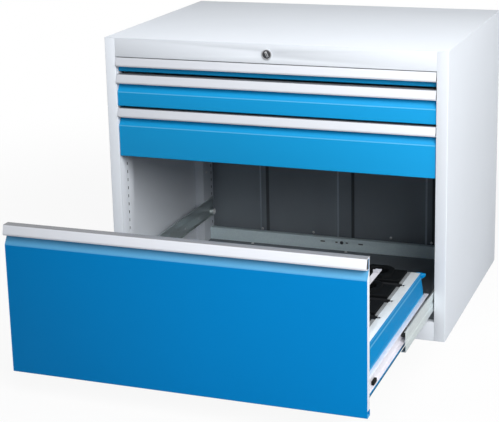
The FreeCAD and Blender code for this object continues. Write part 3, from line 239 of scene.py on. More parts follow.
class Bench(Tree):
    """A material or a sky in the making."""

    def __init__(self, name: str, world: bpy.types.World | None = None) -> None:
        """Start an empty material, or empty a world.

        Args:
            name: The material's name.
            world: The world, if it is a sky.
        """
        self.work = world or bpy.data.materials.new(name)
        self.work.use_nodes = True
        super().__init__(self.work.node_tree)
        self.tree.nodes.clear()
        self.kind = "World" if world else "Material"
        self.place = self.node("ShaderNodeTexCoord", {}, {}).outputs["Object"]
        self.normal = self.node("ShaderNodeNewGeometry", {}, {}).outputs["Normal"]

    def noise(
        self, scale: float, detail: float = 2.0, grain: Grain = Grain.EVEN
    ) -> Signal:
        """Noise over the piece.

        Args:
            scale: How many grains to the metre.
            detail: How many finer layers it has.
            grain: How it is stretched.

        Returns:
            The noise as a signal from zero to one.
        """
        stretch = {"Vector": self.place, "Scale": Vector(grain.value)}
        mapping = self.node("ShaderNodeMapping", {}, stretch)
        sizes = {"Vector": mapping, "Scale": scale, "Detail": detail}
        node = self.node("ShaderNodeTexNoise", {}, sizes)
        return Signal(self, node.outputs["Fac"])

    def part(self, vector: Any, axis: Axis) -> Signal:
        """One part of the place or of the normal.

        Args:
            vector: The place or the normal.
            axis: The axis of the part.

        Returns:
            The part as a signal. A normal's is one where it looks along the axis.
        """
        node = self.node("ShaderNodeSeparateXYZ", {}, {"Vector": vector})
        return Signal(self, node.outputs[axis.value])

    def blend(self, factor: Signal, first: Any, second: Any) -> Any:
        """A mix of two colours.

        Args:
            factor: How much of the second colour there is.
            first: The first colour or socket.
            second: The second colour or socket.

        Returns:
            The mixed colour's socket.
        """
        colours = {0: factor, 6: first, 7: second}
        return self.node("ShaderNodeMix", {"data_type": "RGBA"}, colours).outputs[2]

    def dent(self, height: Signal, depth: float, strength: float) -> Any:
        """A bump.

        Args:
            height: The height as a signal.
            depth: The depth of the bump in metres.
            strength: How much of it shows.

        Returns:
            The bump's node.
        """
        sizes = {"Height": height, "Distance": depth, "Strength": strength}
        return self.node("ShaderNodeBump", {}, sizes)

    def seen(self, *kinds: str) -> Any:
        """Where a ray is of one of some kinds.

        Args:
            kinds: The kinds, such as Camera.

        Returns:
            A signal of one for such rays, zero for others.
        """
        path = self.node("ShaderNodeLightPath", {}, {})
        return sum(Signal(self, path.outputs[f"Is {kind} Ray"]) for kind in kinds)

    def finish(self, kind: str, inputs: Mapping[Any, Any]) -> Any:
        """Close the tree with its last shader.

        Args:
            kind: What the shader's type ends in.
            inputs: The shader's inputs.

        Returns:
            The material or the world.
        """
        shader = self.node(f"ShaderNode{kind}", {}, inputs)
        self.node(f"ShaderNodeOutput{self.kind}", {}, {"Surface": shader})
        return self.work


# ---- finishes


def shade(colour: Colour, factor: float) -> Colour:
    """A lighter or darker colour.

    Args:
        colour: The colour.
        factor: What each of its parts is multiplied by.

    Returns:
        The new colour, within zero and one.
    """
    return tuple(min(1.0, max(0.0, part * factor)) for part in colour)  # type: ignore


def swing(level: float, *shares: tuple[Signal, float]) -> Signal:
    """A value that varies about a level.

    Args:
        level: The level that it keeps while every signal is at one half.
        shares: Signals, and how much each adds from zero to one.

    Returns:
        The value as a signal.
    """
    total: Any = level - sum(share for _, share in shares) / 2
    for signal, share in shares:
        total = signal * share + total
    return total


@dataclass(frozen=True)
class PowderCoat:
    """Baked powder paint: fine orange peel and a faint cloudiness. It can also carry
    painted
    light: a painted reflection of the sky on slopes that face up, a painted highlight
    along a fold, painted light and shade on faces turned left or right, and painted shade
    below a height. Faces turned to the back can take another colour, the paint's own
    where the other faces carry painted shade."""

    colour: Colour
    roughness: float
    cloud: float = 0.03
    gloss: float = 0.3
    # Painted reflection of the sky on faces that face up.
    bloom: float = 0.0
    # Painted highlight along a fold: its strength, the upward part of the normal where it
    # peaks, and its width.
    crease: float = 0.0
    crease_at: float = 0.2
    crease_wide: float = 0.14
    # Painted light and shade on faces turned left or right.
    flank: float = 0.0
    outside: Colour | None = None
    # Height below which painted shade darkens the colour.
    sill: float = 0.0
    cloud_scale: float = 3.0
    peel_scale: float = 900.0
    dimple_scale: float = 260.0
    peel_depth: float = 0.00004
    # Painted highlights blend towards this tint plus the paint's colour times the next
    # share.
    bleach: Colour = (0.2, 0.4, 0.42)
    faded: float = 0.55
    # How much lighter and darker the painted flanks are drawn.
    lit_flank: float = 2.2
    dim_flank: float = 0.35
    # Share and colour of the painted shade below that height.
    sill_shade: float = 0.85
    sill_colour: Colour = (0.002, 0.045, 0.07)

    def make(self, name: str) -> bpy.types.Material:
        """Build the material.

        Args:
            name: The material's name.

        Returns:
            The material.
        """
        bench = Bench(name)
        cloud = bench.noise(self.cloud_scale, 3.0)
        fine = bench.noise(self.peel_scale, 1.0)
        darkest = shade(self.colour, 1.0 - self.cloud)
        base = bench.blend(cloud, darkest, shade(self.colour, 1.0 + self.cloud))
        patchy = swing(1.0, (fine, 0.4))
        # Painted light: a reflection of the sky on faces that face up and a highlight
        # along a fold, mixed in as a paler colour.
        if self.bloom or self.crease:
            upward = bench.part(bench.normal, Axis.Z)
            wide = self.crease_wide
            fold = upward.above(self.crease_at - wide, wide)
            fold = fold - upward.above(self.crease_at + 0.7 * wide, wide)
            painted_light_share = upward.above(0.2, 0.3) * self.bloom + fold * self.crease
            paler = tuple(
                self.faded * part + rise for part, rise in zip(self.colour, self.bleach)
            )
            base = bench.blend(painted_light_share * patchy, base, paler)
        # Painted light and shade: faces turned to -X are drawn lighter, faces turned to
        # +X darker.
        if self.flank:
            side = bench.part(bench.normal, Axis.X)
            for way, factor in ((-1.0, self.lit_flank), (1.0, self.dim_flank)):
                share = (side * way).above(0.05, 0.3) * patchy * self.flank
                base = bench.blend(share, base, shade(self.colour, factor))
        # Painted shade: below the given height the colour goes dark.
        if self.sill:
            under = 1.0 - bench.part(bench.place, Axis.Z).above(self.sill, 0.001)
            base = bench.blend(under * self.sill_shade, base, self.sill_colour)
        # Faces turned to +Y take the outside colour; the others keep the base colour,
        # which on the rear panel is painted shade.
        if self.outside:
            away = bench.part(bench.normal, Axis.Y).above(0.0, 0.2)
            base = bench.blend(away, base, self.outside)
        peel = fine + bench.noise(self.dimple_scale) * 1.5
        return bench.finish(
            "BsdfPrincipled",
            {
                "Base Color": base,
                "Roughness": swing(self.roughness, (cloud, 0.06), (fine, 0.04)),
                "Normal": bench.dent(peel, self.peel_depth, 0.35),
                "Specular IOR Level": self.gloss,
            },
        )


@dataclass(frozen=True)
class BrushedMetal:
    """Drawn or brushed metal with streaks along its length, and painted shade on its
    upward faces.
    """

    colour: Colour
    roughness: float
    grain: Grain = Grain.ACROSS
    contrast: float = 0.06
    metallic: float = 1.0
    # Strength of the painted shade on faces that face up.
    crown: float = 0.0
    streak_scale: float = 30.0
    stain_scale: float = 9.0
    # How dark the painted shade makes those faces.
    dull: float = 0.25

    def make(self, name: str) -> bpy.types.Material:
        """Build the material.

        Args:
            name: The material's name.

        Returns:
            The material.
        """
        bench = Bench(name)
        streaks = bench.noise(self.streak_scale, 3.0, self.grain)
        stains = bench.noise(self.stain_scale, 3.0)
        base = bench.blend(
            swing(0.5, (streaks, 0.7), (stains, 0.3)),
            shade(self.colour, 1.0 - self.contrast),
            shade(self.colour, 1.0 + self.contrast),
        )
        # Painted shade: faces that face up are darkened, in place of the dark reflection
        # they would show.
        if self.crown:
            top = bench.part(bench.normal, Axis.Z).above(0.45, 0.35)
            top = top * swing(1.0, (streaks, 0.2)) * self.crown
            base = bench.blend(top, base, shade(self.colour, self.dull))
        return bench.finish(
            "BsdfPrincipled",
            {
                "Base Color": base,
                "Metallic": self.metallic,
                "Roughness": swing(self.roughness, (streaks, 0.12), (stains, 0.08)),
                "Normal": bench.dent(streaks, 0.00003, 0.25),
            },
        )


@dataclass(frozen=True)
class ZincPlate:
    """Bright zinc: cloudy spangles and fine scuffs on steel."""

    colour: Colour
    roughness: float
    metallic: float = 0.9
    spangle_scale: float = 160.0
    cloud_scale: float = 22.0
    scuff_scale: float = 700.0

    def make(self, name: str) -> bpy.types.Material:
        """Build the material.

        Args:
            name: The material's name.

        Returns:
            The material.
        """
        bench = Bench(name)
        cells = bench.node(
            "ShaderNodeTexVoronoi",
            {"feature": "F1"},
            {"Vector": bench.place, "Scale": self.spangle_scale},
        )
        spangle = Signal(bench, cells.outputs["Distance"])
        cloud = bench.noise(self.cloud_scale, 4.0)
        scuff = bench.noise(self.scuff_scale, 2.0, Grain.DEEP)
        base = bench.blend(
            swing(0.5, (spangle, 0.4), (cloud, 0.6)),
            shade(self.colour, 0.88),
            shade(self.colour, 1.08),
        )
        return bench.finish(
            "BsdfPrincipled",
            {
                "Base Color": base,
                "Metallic": self.metallic,
                "Roughness": swing(self.roughness, (cloud, 0.16), (spangle, 0.08)),
                "Normal": bench.dent(scuff + cloud, 0.00003, 0.3),
            },
        )


@dataclass(frozen=True)
class Moulded:
    """Injection-moulded plastic or rubber with a fine spark-eroded grain."""

    colour: Colour
    roughness: float
    grain: float = 1400.0
    gloss: float = 0.35
    dust_scale: float = 14.0
    dusty: float = 1.6

    def make(self, name: str) -> bpy.types.Material:
        """Build the material.

        Args:
            name: The material's name.

        Returns:
            The material.
        """
        bench = Bench(name)
        fine = bench.noise(self.grain, 1.0)
        dust = bench.noise(self.dust_scale, 4.0).above(0.52, 0.3)
        base = bench.blend(dust * 0.35, self.colour, shade(self.colour, self.dusty))
        return bench.finish(
            "BsdfPrincipled",
            {
                "Base Color": base,
                "Roughness": swing(self.roughness, (fine, 0.1), (dust, 0.12)),
                "Normal": bench.dent(fine, 0.00004, 0.4),
                "Specular IOR Level": self.gloss,
            },
        )


class Finish(Enum):
    """The finishes of the cabinet, each with its slot's name and its make."""

    BODY_GREY = ("body_grey", PowderCoat((0.70, 0.735, 0.785), 0.6, gloss=0.1))
    # Painted shade: the floor pan's grey drawn dark.
    INNER_GREY = ("body_grey", PowderCoat((0.22, 0.245, 0.27), 0.6, gloss=0.08))
    # Painted shade: a dark grey on the panel's inner faces, with painted light and shade
    # on its folds; the outer faces keep the body grey.
    REAR_GREY = (
        "body_grey",
        PowderCoat(
            (0.24, 0.27, 0.30), 0.45, 0.2, flank=0.9, outside=(0.70, 0.735, 0.785)
        ),
    )
    REAR_RAIL = ("rear_rail_metal", ZincPlate((0.78, 0.92, 1.0), 0.42, 0.0))
    SLIDE_STEEL = ("slide_steel", ZincPlate((0.68, 0.74, 0.74), 0.34, 0.85))
    DRAWER_RAIL = ("slide_steel", ZincPlate((0.78, 0.77, 0.83), 0.42, 0.3))
    CLIP = ("slide_steel", ZincPlate((0.22, 0.23, 0.235), 0.5, 0.2))
    NYLON = ("roller_plastic", Moulded((0.86, 0.87, 0.88), 0.46))
    ROLLER = ("roller_plastic", Moulded((0.015, 0.016, 0.018), 0.51, gloss=0.2))
    # With a painted highlight along the bends.
    FRONT_BLUE = (
        "front_blue",
        PowderCoat((0.008, 0.305, 0.64), 0.5, cloud=0.02, gloss=0.1, crease=0.45),
    )
    # Painted shade: the front blue darkened for the open drawer's front, with a painted
    # reflection on its slope and a painted highlight along its bend.
    DEEP_BLUE = (
        "front_blue",
        PowderCoat((0.0, 0.19, 0.49), 0.5, gloss=0.05, bloom=0.5, crease=0.3),
    )
    # With painted shade on the strip's top faces.
    HANDLE = (
        "handle_aluminium",
        BrushedMetal((0.655, 0.675, 0.725), 0.5, metallic=0.0, crown=0.97),
    )
    TRAY_GREY = ("tray_grey", PowderCoat((0.66, 0.68, 0.72), 0.45, gloss=0.2))
    # With a painted highlight along the waist bend, and painted shade on the band below
    # the drawer rail.
    FRAME_BLUE = (
        "frame_blue",
        PowderCoat(
            (0.0, 0.195, 0.45), 0.5, gloss=0.03, crease=0.45, crease_at=0.035,
            crease_wide=0.025, sill=0.0905,
        ),
    )
    TOOL_RAIL = ("tool_rail_zinc", ZincPlate((0.74, 0.78, 0.80), 0.42, 0.3))
    CARRIER = ("carrier_grey", PowderCoat((0.016, 0.017, 0.019), 0.5, gloss=0.08))
    INSERT = ("insert_black", Moulded((0.0025, 0.003, 0.0035), 0.66, gloss=0.05))
    BUFFER = ("buffer_rubber", Moulded((0.005, 0.005, 0.005), 0.76, 800.0, 0.12))
    LOCK_STEEL = ("lock_steel", ZincPlate((0.66, 0.67, 0.69), 0.36))
    CATCH = ("lock_steel", ZincPlate((0.42, 0.42, 0.46), 0.5, 0.2))
    CHROME = ("lock_chrome", BrushedMetal((0.12, 0.12, 0.13), 0.3, Grain.UPRIGHT, 0.1))
    KEYWAY = ("lock_chrome", BrushedMetal((0.85, 0.86, 0.88), 0.3, Grain.UPRIGHT, 0.05))

    @property
    def slot(self) -> str:
        """The record's slot of this finish."""
        return self.value[0]

    def material(self) -> bpy.types.Material:
        """The material of this finish, built once."""
        name = f"{self.name.lower()}.finish"
        return bpy.data.materials.get(name) or self.value[1].make(name)


# ---- meshes

SHARP = math.radians(28.0)
FLAT = math.radians(0.6)
WELD = 2e-6
NEAR = 5e-5
LARGEST_FACE = 4


@dataclass(frozen=True)
class Bends:
    """The wide bends of a folded sheet: where they pass in the two axes across them,
    how wide they are, and the axis along which they run."""

    places: Sequence[Flat]
    width: float = 0.0025
    axis: Axis = Axis.X

    def hold(self, edge: bmesh.types.BMEdge) -> bool:
        """Whether an edge is one of the bends.

        Args:
            edge: The edge.

        Returns:
            True if it runs along the axis at one of the places.
        """
        start, end = (vert.co for vert in edge.verts)
        run = abs(end[self.axis.value] - start[self.axis.value])
        return run >= 0.5 * (end - start).length and any(
            all(
                abs(point[index] - part) < NEAR
                for point in (start, end)
                for index, part in zip(self.axis.others, bend)
            )
            for bend in self.places
        )


def rectangle(first: Flat, second: Flat) -> list[Flat]:
    """The corners of a rectangle.

    Args:
        first: Its span along the first axis.
        second: Its span along the second axis.

    Returns:
        The four corners in turn.
    """
    (left, right), (low, high) = sorted(first), sorted(second)
    return [(left, low), (right, low), (right, high), (left, high)]


def settle(name: str, mesh: Work, turn: float = 30.0) -> Piece:
    """Turn a mesh in work into a smooth-shaded object.

    Args:
        name: The object's name.
        mesh: The mesh in work, which is used up.
        turn: The sharpest angle that is still shaded smooth, in degrees.

    Returns:
        The object.
    """
    data = bpy.data.meshes.new(name)
    mesh.to_mesh(data)
    mesh.free()
    data.shade_smooth()
    data.set_sharp_from_angle(angle=math.radians(turn))
    piece = bpy.data.objects.new(name, data)
    bpy.context.scene.collection.objects.link(piece)
    return piece


def bevel(
    mesh: Work, edges: Sequence[Any], width: float, segments: int, clamp: bool
) -> None:
    """Round some edges of a mesh.

    Args:
        mesh: The mesh in work.
        edges: The edges.
        width: The width of the rounding in metres.
        segments: How many faces it takes.
        clamp: Whether it gives way where there is no room.
    """
    amounts = {"offset": width, "segments": segments, "profile": 0.5}
    kinds = {"offset_type": "OFFSET", "affect": "EDGES"}
    give = {"clamp_overlap": clamp, "loop_slide": clamp}
    bmesh.ops.bevel(mesh, geom=edges, **amounts, **kinds, **give)


def soften(mesh: Work, width: float) -> None:
    """Round all the sharp edges of a mesh.

    Args:
        mesh: The mesh in work.
        width: The width of the rounding in metres.
    """
    inner = [edge for edge in mesh.edges if len(edge.link_faces) == 2]
    edges = [edge for edge in inner if edge.calc_face_angle(0.0) > SHARP]
    bevel(mesh, edges, width, 2, True)


def extrude(
    name: str, outline: Sequence[Flat], axis: Axis, span: Flat, round_by: float = 0.0
) -> Piece:
    """A closed outline drawn out along an axis.

    Args:
        name: The object's name.
        outline: Points in the two other axes, in their order.
        axis: The axis along which it is drawn out.
        span: Where it starts and where it ends.
        round_by: The width of its rounded edges.

    Returns:
        The object.
    """
    mesh = bmesh.new()
    rings = []
    for station in sorted(span):
        ring = []
        for corner in outline:
            place = list(corner)
            place.insert(axis.value, station)
            ring.append(mesh.verts.new(place))
        rings.append(ring)
        mesh.faces.new(ring)
    near, far = rings
    for step in range(len(outline)):
        before = step - 1
        mesh.faces.new((near[before], near[step], far[step], far[before]))
    bmesh.ops.recalc_face_normals(mesh, faces=mesh.faces)
    if round_by:
        soften(mesh, round_by)
    return settle(name, mesh)


def turned(
    name: str, profile: Sequence[Flat], axis: Axis, way: float = 1.0,
    centre: Point = ORIGIN, steps: int = 24,
) -> Piece:
    """A profile turned about an axis.

    Args:
        name: The object's name.
        profile: Pairs of radius and height above the centre.
        axis: The axis of turning.
        way: The sign of the axis on which the heights count.
        centre: The point on the axis from which they count.
        steps: How many sides it has.

    Returns:
        The object.
    """
    mesh = bmesh.new()
    across, up = axis.others
    rings = []
    for radius, height in profile:
        ring = []
        for step in range(steps if radius else 1):
            angle = 2 * math.pi * step / steps
            place = list(centre)
            place[axis.value] += way * height
            place[across] += radius * math.cos(angle)
            place[up] += radius * math.sin(angle)
            ring.append(mesh.verts.new(place))
        rings.append(ring)
    for near, far in zip(rings, rings[1:]):
        for step in range(steps):
            after = (step + 1) % steps
            corners = [near[step % len(near)], near[after % len(near)]]
            corners += [far[after % len(far)], far[step % len(far)]]
            mesh.faces.new(list(dict.fromkeys(corners)))
    bmesh.ops.recalc_face_normals(mesh, faces=mesh.faces)
    return settle(name, mesh, 40.0)


def folded_copy(node: str, round_by: float, bends: Bends | None) -> Piece:
    """A node's shape with its loose faces merged and its edges rounded.

    Args:
        node: The node's name.
        round_by: The width of the rounded edges.
        bends: Its wide bends, if it has any.

    Returns:
        The object.
    """
    mesh = bmesh.new()
    mesh.from_mesh(bpy.data.objects[node].data)
    bmesh.ops.remove_doubles(mesh, verts=mesh.verts, dist=WELD)
    bmesh.ops.dissolve_limit(
        mesh, angle_limit=FLAT, verts=mesh.verts, edges=mesh.edges
    )
    if bends:
        edges = [edge for edge in mesh.edges if bends.hold(edge)]
        bevel(mesh, edges, bends.width, 4, False)
    soften(mesh, round_by)
    large = [face for face in mesh.faces if len(face.verts) > LARGEST_FACE]
    bmesh.ops.triangulate(mesh, faces=large)
    return settle(f"{node}.finished", mesh)


class Row(Tree):
    """Copies of one small part, set out by a Geometry Nodes tree."""

    def __init__(self, name: str) -> None:
        """Start a tree.

        Args:
            name: The tree's name, and its piece's.
        """
        super().__init__(bpy.data.node_groups.new(name, "GeometryNodeTree"))
        self.name = name

    def copies(self, points: Any, shape: Any) -> Any:
        """Real copies of a shape on points.

        Args:
            points: The points' socket or node.
            shape: The shape's socket or node.

        Returns:
            The node that gives the copies.
        """
        inputs = {"Points": points, "Instance": shape}
        spread = self.node("GeometryNodeInstanceOnPoints", {}, inputs)
        return self.node("GeometryNodeRealizeInstances", {}, {"Geometry": spread})

    def lay(
        self, part: Piece, body: str, finish: Finish, first: Point, *steps: Step
    ) -> None:
        """Set out copies of a small part and mount them as one plain piece.

        Args:
            part: The small part, drawn about the origin. It is used up.
            body: The body that the piece moves with.
            finish: Its finish.
            first: Where the first copy goes.
            steps: One or two steps from copy to copy, each with its number of copies.
        """
        (along, along_step), (across, across_step) = (*steps, (1, ORIGIN))[:2]
        add = self.tree.interface.new_socket
        add("Geometry", in_out="OUTPUT", socket_type="NodeSocketGeometry")
        values = {}
        for name, kind, value in (
            ("Part", "Object", part),
            ("First place", "Vector", first),
            ("Along", "Int", along),
            ("Along step", "Vector", along_step),
            ("Across", "Int", across),
            ("Across step", "Vector", across_step),
            ("Finish", "Material", finish.material()),
        ):
            socket = add(name, in_out="INPUT", socket_type=f"NodeSocket{kind}")
            values[socket.identifier] = value
        given = self.node("NodeGroupInput", {}, {}).outputs
        line = ("GeometryNodeMeshLine", {"mode": "OFFSET"})
        rank = {"Count": given["Across"], "Offset": given["Across step"]}
        file = {"Count": given["Along"], "Offset": given["Along step"]}
        file["Start Location"] = given["First place"]
        spots = self.copies(self.node(*line, rank), self.node(*line, file))
        shape = self.node("GeometryNodeObjectInfo", {}, {"Object": given["Part"]})
        real = self.copies(spots, shape.outputs["Geometry"])
        coat = {"Geometry": real, "Material": given["Finish"]}
        dressed = self.node("GeometryNodeSetMaterial", {}, coat)
        self.node("NodeGroupOutput", {}, {"Geometry": dressed})
        mount(self.realise(values), body, finish)
        bpy.data.objects.remove(part)

    def realise(self, values: Mapping[str, Any]) -> Piece:
        """Evaluate the tree into a plain mesh.

        Args:
            values: The inputs' values by identifier.

        Returns:
            The object with the finished mesh.
        """
        carrier = bpy.data.objects.new(self.name, bpy.data.meshes.new(self.name))
        bpy.context.scene.collection.objects.link(carrier)
        modifier = carrier.modifiers.new("Row", "NODES")
        modifier.node_group = self.tree
        for identifier, value in values.items():
            modifier[identifier] = value
        graph = bpy.context.evaluated_depsgraph_get()
        mesh = bpy.data.meshes.new_from_object(carrier.evaluated_get(graph))
        carrier.modifiers.remove(modifier)
        carrier.data = mesh
        return carrier


# ---- ways of mounting

USUAL_EDGE = 0.00035


def mount(piece: Piece, body: str, finish: Finish) -> None:
    """Dress a piece and set it on its body.

    Args:
        piece: The piece.
        body: The body that it moves with.
        finish: Its finish.
    """
    piece.data.materials.clear()
    piece.data.materials.append(finish.material())
    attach(piece, body)
    LOG.info("%s rides on %s in %s", piece.name, body, finish.slot)


def dress(
    body: str, finish: Finish, nodes: Iterable[str], round_by: float = USUAL_EDGE,
    bends: Bends | None = None,
) -> None:
    """Replace nodes with finished copies whose folds are rounded.

    Args:
        body: The body that they belong to.
        finish: Their finish.
        nodes: Their names.
        round_by: The width of the rounded edges.
        bends: Their wide bends, if they have any.
    """
    for node in nodes:
        copy = folded_copy(node, round_by, bends)
        mount(copy, body, finish)
        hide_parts(node)


# ---- sub-assemblies

# Profiles of what is turned: pairs of radius and height.
FLOOR_BOLT_HEAD = ((0, 0.003), (0.003, 0.0028), (0.0048, 0.0018), (0.0055, 0), (0, 0))
PAN_SCREW_HEAD = ((0, 0.0026), (0.003, 0.0024), (0.0046, 0.0014), (0.005, 0), (0, 0))
RIVET_HEAD = ((0, 0.00035), (0.0034, 0.00032), (0.0039, 0.0002), (0.0041, 0), (0, 0))
REAR_SCREW_HEAD = (
    (0, 0.0026), (0.00264, 0.0024), (0.00432, 0.0014), (0.0048, 0), (0, -0.0002),
)
UPRIGHT_BOLT_HEAD = (
    (0, 0.0012), (0.002, 0.0012), (0.0022, 0.0022), (0.0046, 0.0018),
    (0.0056, 0.0006), (0.0057, 0), (0, 0),
)
DOCK_ROLLER_FACE = (
    (0, 0.0021), (0.003, 0.0019), (0.0036, 0.0008), (0.0058, 0.0008),
    (0.0064, 0.0017), (0.0092, 0.0017), (0.0102, 0.001), (0.0104, 0), (0, 0),
)


@dataclass
class Carcase:
    """The welded sheet-steel body with its uprights, floor and rear panel."""

    panel_fold: float = 0.0007
    upright_edge: float = 0.00025
    rear_screws: Sequence[Point] = (
        (-0.296, 0.0, 0.040), (-0.115, 0.008, 0.040),
        (0.156, 0.008, 0.044), (0.296, 0.0, 0.042),
    )
    upright_bolt: Flat = (0.028, 0.2455)
    upright_bolt_pitch: float = 0.150
    floor_bolt: Point = (-0.3134, 0.3034, 0.0015)
    floor_bolt_pitch: float = 0.3311
    columns: Sequence[tuple[str, float]] = (("front", -0.320), ("rear", 0.332))
    slot_size: Flat = (0.0045, 0.0090)
    slot_first: float = 0.033
    slot_pitch: float = 0.025
    slot_count: int = 29
    # Sizes of the dark sheet and linings that paint the shade in the slots.
    liner_wide: float = 0.014
    liner_span: Flat = (0.0013, 0.0016)
    liner_foot: float = 0.022
    liner_head: float = 0.012
    lining: float = 0.00015
    lining_span: Flat = (0.00015, 0.00125)

    def build(self) -> None:
        """Dress the sheets, add the bolts and screws, and put painted shade in the slots.
        """
        panels = ("side_panel_right", "side_panel_left", "top_panel")
        dress("cabinet", Finish.BODY_GREY, panels, self.panel_fold)
        dress("cabinet", Finish.BODY_GREY, ("lock_rail", "base_rail"))
        # The floor pan carries painted shade.
        dress("cabinet", Finish.INNER_GREY, ("floor_pan",))
        # The rear panel's inner faces carry painted shade.
        dress("cabinet", Finish.REAR_GREY, ("rear_panel",))
        dress("cabinet", Finish.REAR_RAIL, ("rear_rail",))
        self.add_screws()
        for side in Side:
            self.add_bolts(side)
            for column, place in self.columns:
                node = f"upright_{column}_{side.word}"
                dress("cabinet", Finish.BODY_GREY, (node,), self.upright_edge)
                # Dark sheets paint the shade in the upright's slots.
                self.line_slots(node, side, place)

    def line_slots(self, node: str, side: Side, place: float) -> None:
        """Painted shade for a column of slots: a dark sheet behind them, and a dark
        lining on each slot's walls.

        Args:
            node: The slotted upright.
            side: Its side.
            place: The depth of its slots.
        """
        low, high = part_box(node)
        face = side.face(node, outer=False)
        half = self.liner_wide / 2
        near, far = (face + side.value * depth for depth in self.liner_span)
        outline = rectangle((near, far), (place - half, place + half))
        span = (low.z + self.liner_foot, high.z - self.liner_head)
        shadow_backing = extrude(f"{node}.liner", outline, Axis.Z, span)
        mount(shadow_backing, "cabinet", Finish.BUFFER)
        across, up = (part / 2 for part in self.slot_size)
        outer = rectangle((-across, across), (-up, up))
        in_across, in_up = across - self.lining, up - self.lining
        slit = 2 * self.lining - up
        inner = [(-across, slit), (-in_across, slit), (-in_across, in_up)]
        inner += [(in_across, in_up), (in_across, -in_up), (-across, -in_up)]
        near, far = (side.value * depth for depth in self.lining_span)
        Row(f"{node}.slot_linings").lay(
            extrude("slot_lining", outer + inner, Axis.X, (near, far)),
            "cabinet", Finish.BUFFER,
            (face, place, self.slot_first),
            (self.slot_count, (0.0, 0.0, self.slot_pitch)),
        )

    def add_bolts(self, side: Side) -> None:
        """Button-head bolts in the face of a rear upright.

        Args:
            side: The upright's side.
        """
        node = f"upright_rear_{side.word}"
        back, up = self.upright_bolt
        Row(f"upright_bolts_{side.word}").lay(
            turned("bolt_head", UPRIGHT_BOLT_HEAD, Axis.X, -side.value),
            "cabinet", Finish.LOCK_STEEL,
            (side.face(node, outer=False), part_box(node)[0].y + back, up),
            (2, (0.0, 0.0, self.upright_bolt_pitch)),
        )

    def add_screws(self) -> None:
        """The screws of the rear panel's foot and the bolts of the rear rail's foot."""
        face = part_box("rear_panel")[0].y
        for count, (across, set_back, up) in enumerate(self.rear_screws, start=1):
            place = (across, face + set_back, up)
            name = f"rear_screw_{count}"
            screw = turned(name, REAR_SCREW_HEAD, Axis.Y, -1.0, place)
            mount(screw, "cabinet", Finish.LOCK_STEEL)
        Row("floor_bolts").lay(
            turned("floor_bolt", FLOOR_BOLT_HEAD, Axis.Z),
            "cabinet", Finish.NYLON,
            self.floor_bolt,
            (2, (self.floor_bolt_pitch, 0.0, 0.0)),
        )


@dataclass
class Fronts:
    """The blue fronts, the pan behind the tall one, the handle strips and the trays."""

    front_edge: float = 0.0004
    recess: float = 0.014
    recess_tall: float = 0.0285
    slant: float = 0.0215
    handle_edge: float = 0.0005
    plug_edge: float = 0.0002
    plug_inset: float = 0.0004
    plug_thick: float = 0.0014
    plug_below_top: Sequence[Flat] = (
        (0.0205, 0.0021), (0.0081, 0.0021), (0.0024, 0.022),
    )
    plug_above_foot: Sequence[Flat] = ((0.0037, 0.0058), (0.0205, 0.0024))
    screw_sunk: float = 0.0001
    screw_rise: float = 0.262
    screw_span: float = 0.86
    screw_files: int = 4
    screw_rank_step: float = 0.150

    def build(self) -> None:
        """Dress the fronts, the handles and the trays."""
        for number in range(1, 5):
            body = f"drawer_{number}"
            self.dress_front(number, body)
            dress(body, Finish.HANDLE, (f"handle_{number}",), self.handle_edge)
            self.plug_handle(number, body)
            if number < 4:
                dress(body, Finish.TRAY_GREY, (f"tray_{number}",))
        dress("drawer_4", Finish.BODY_GREY, ("front_backing_4",))
        self.add_pan_screws()

    def dress_front(self, number: int, body: str) -> None:
        """A front with its two long bends rounded. The slim one has none.

        Args:
            number: The drawer's number.
            body: The body that it moves with.
        """
        node = f"front_{number}"
        low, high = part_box(node)
        top = high.z - self.recess_tall
        bends = Bends(((low.y + self.recess, top), (low.y, top - self.slant)))
        # The open drawer's front gets the darker blue as painted shade.
        finish = Finish.DEEP_BLUE if number == 4 else Finish.FRONT_BLUE
        dress(body, finish, (node,), self.front_edge, None if number == 1 else bends)

    def plug_handle(self, number: int, body: str) -> None:
        """Plastic plugs in both ends of a handle strip.

        Args:
            number: The drawer's number.
            body: The body that they move with.
        """
        node = f"handle_{number}"
        low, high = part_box(node)
        outline = [(low.y + back, high.z - down) for back, down in self.plug_below_top]
        outline += [(low.y + back, low.z + up) for back, up in self.plug_above_foot]
        for side in Side:
            end = side.face(node, outer=True) - side.value * self.plug_inset
            plug = extrude(
                f"handle_plug_{side.word}_{number}",
                outline,
                Axis.X,
                (end, end - side.value * self.plug_thick),
                self.plug_edge,
            )
            mount(plug, body, Finish.ROLLER)

    def add_pan_screws(self) -> None:
        """Two ranks of screws at the back of the inner pan."""
        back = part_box("front_backing_4")[1].y - self.screw_sunk
        Row("pan_screws").lay(
            turned("screw_head", PAN_SCREW_HEAD, Axis.Y, steps=20),
            "drawer_4", Finish.LOCK_STEEL,
            (-self.screw_span / 2, back, self.screw_rise),
            (self.screw_files, (self.screw_span / (self.screw_files - 1), 0.0, 0.0)),
            (2, (0.0, 0.0, self.screw_rank_step)),
        )


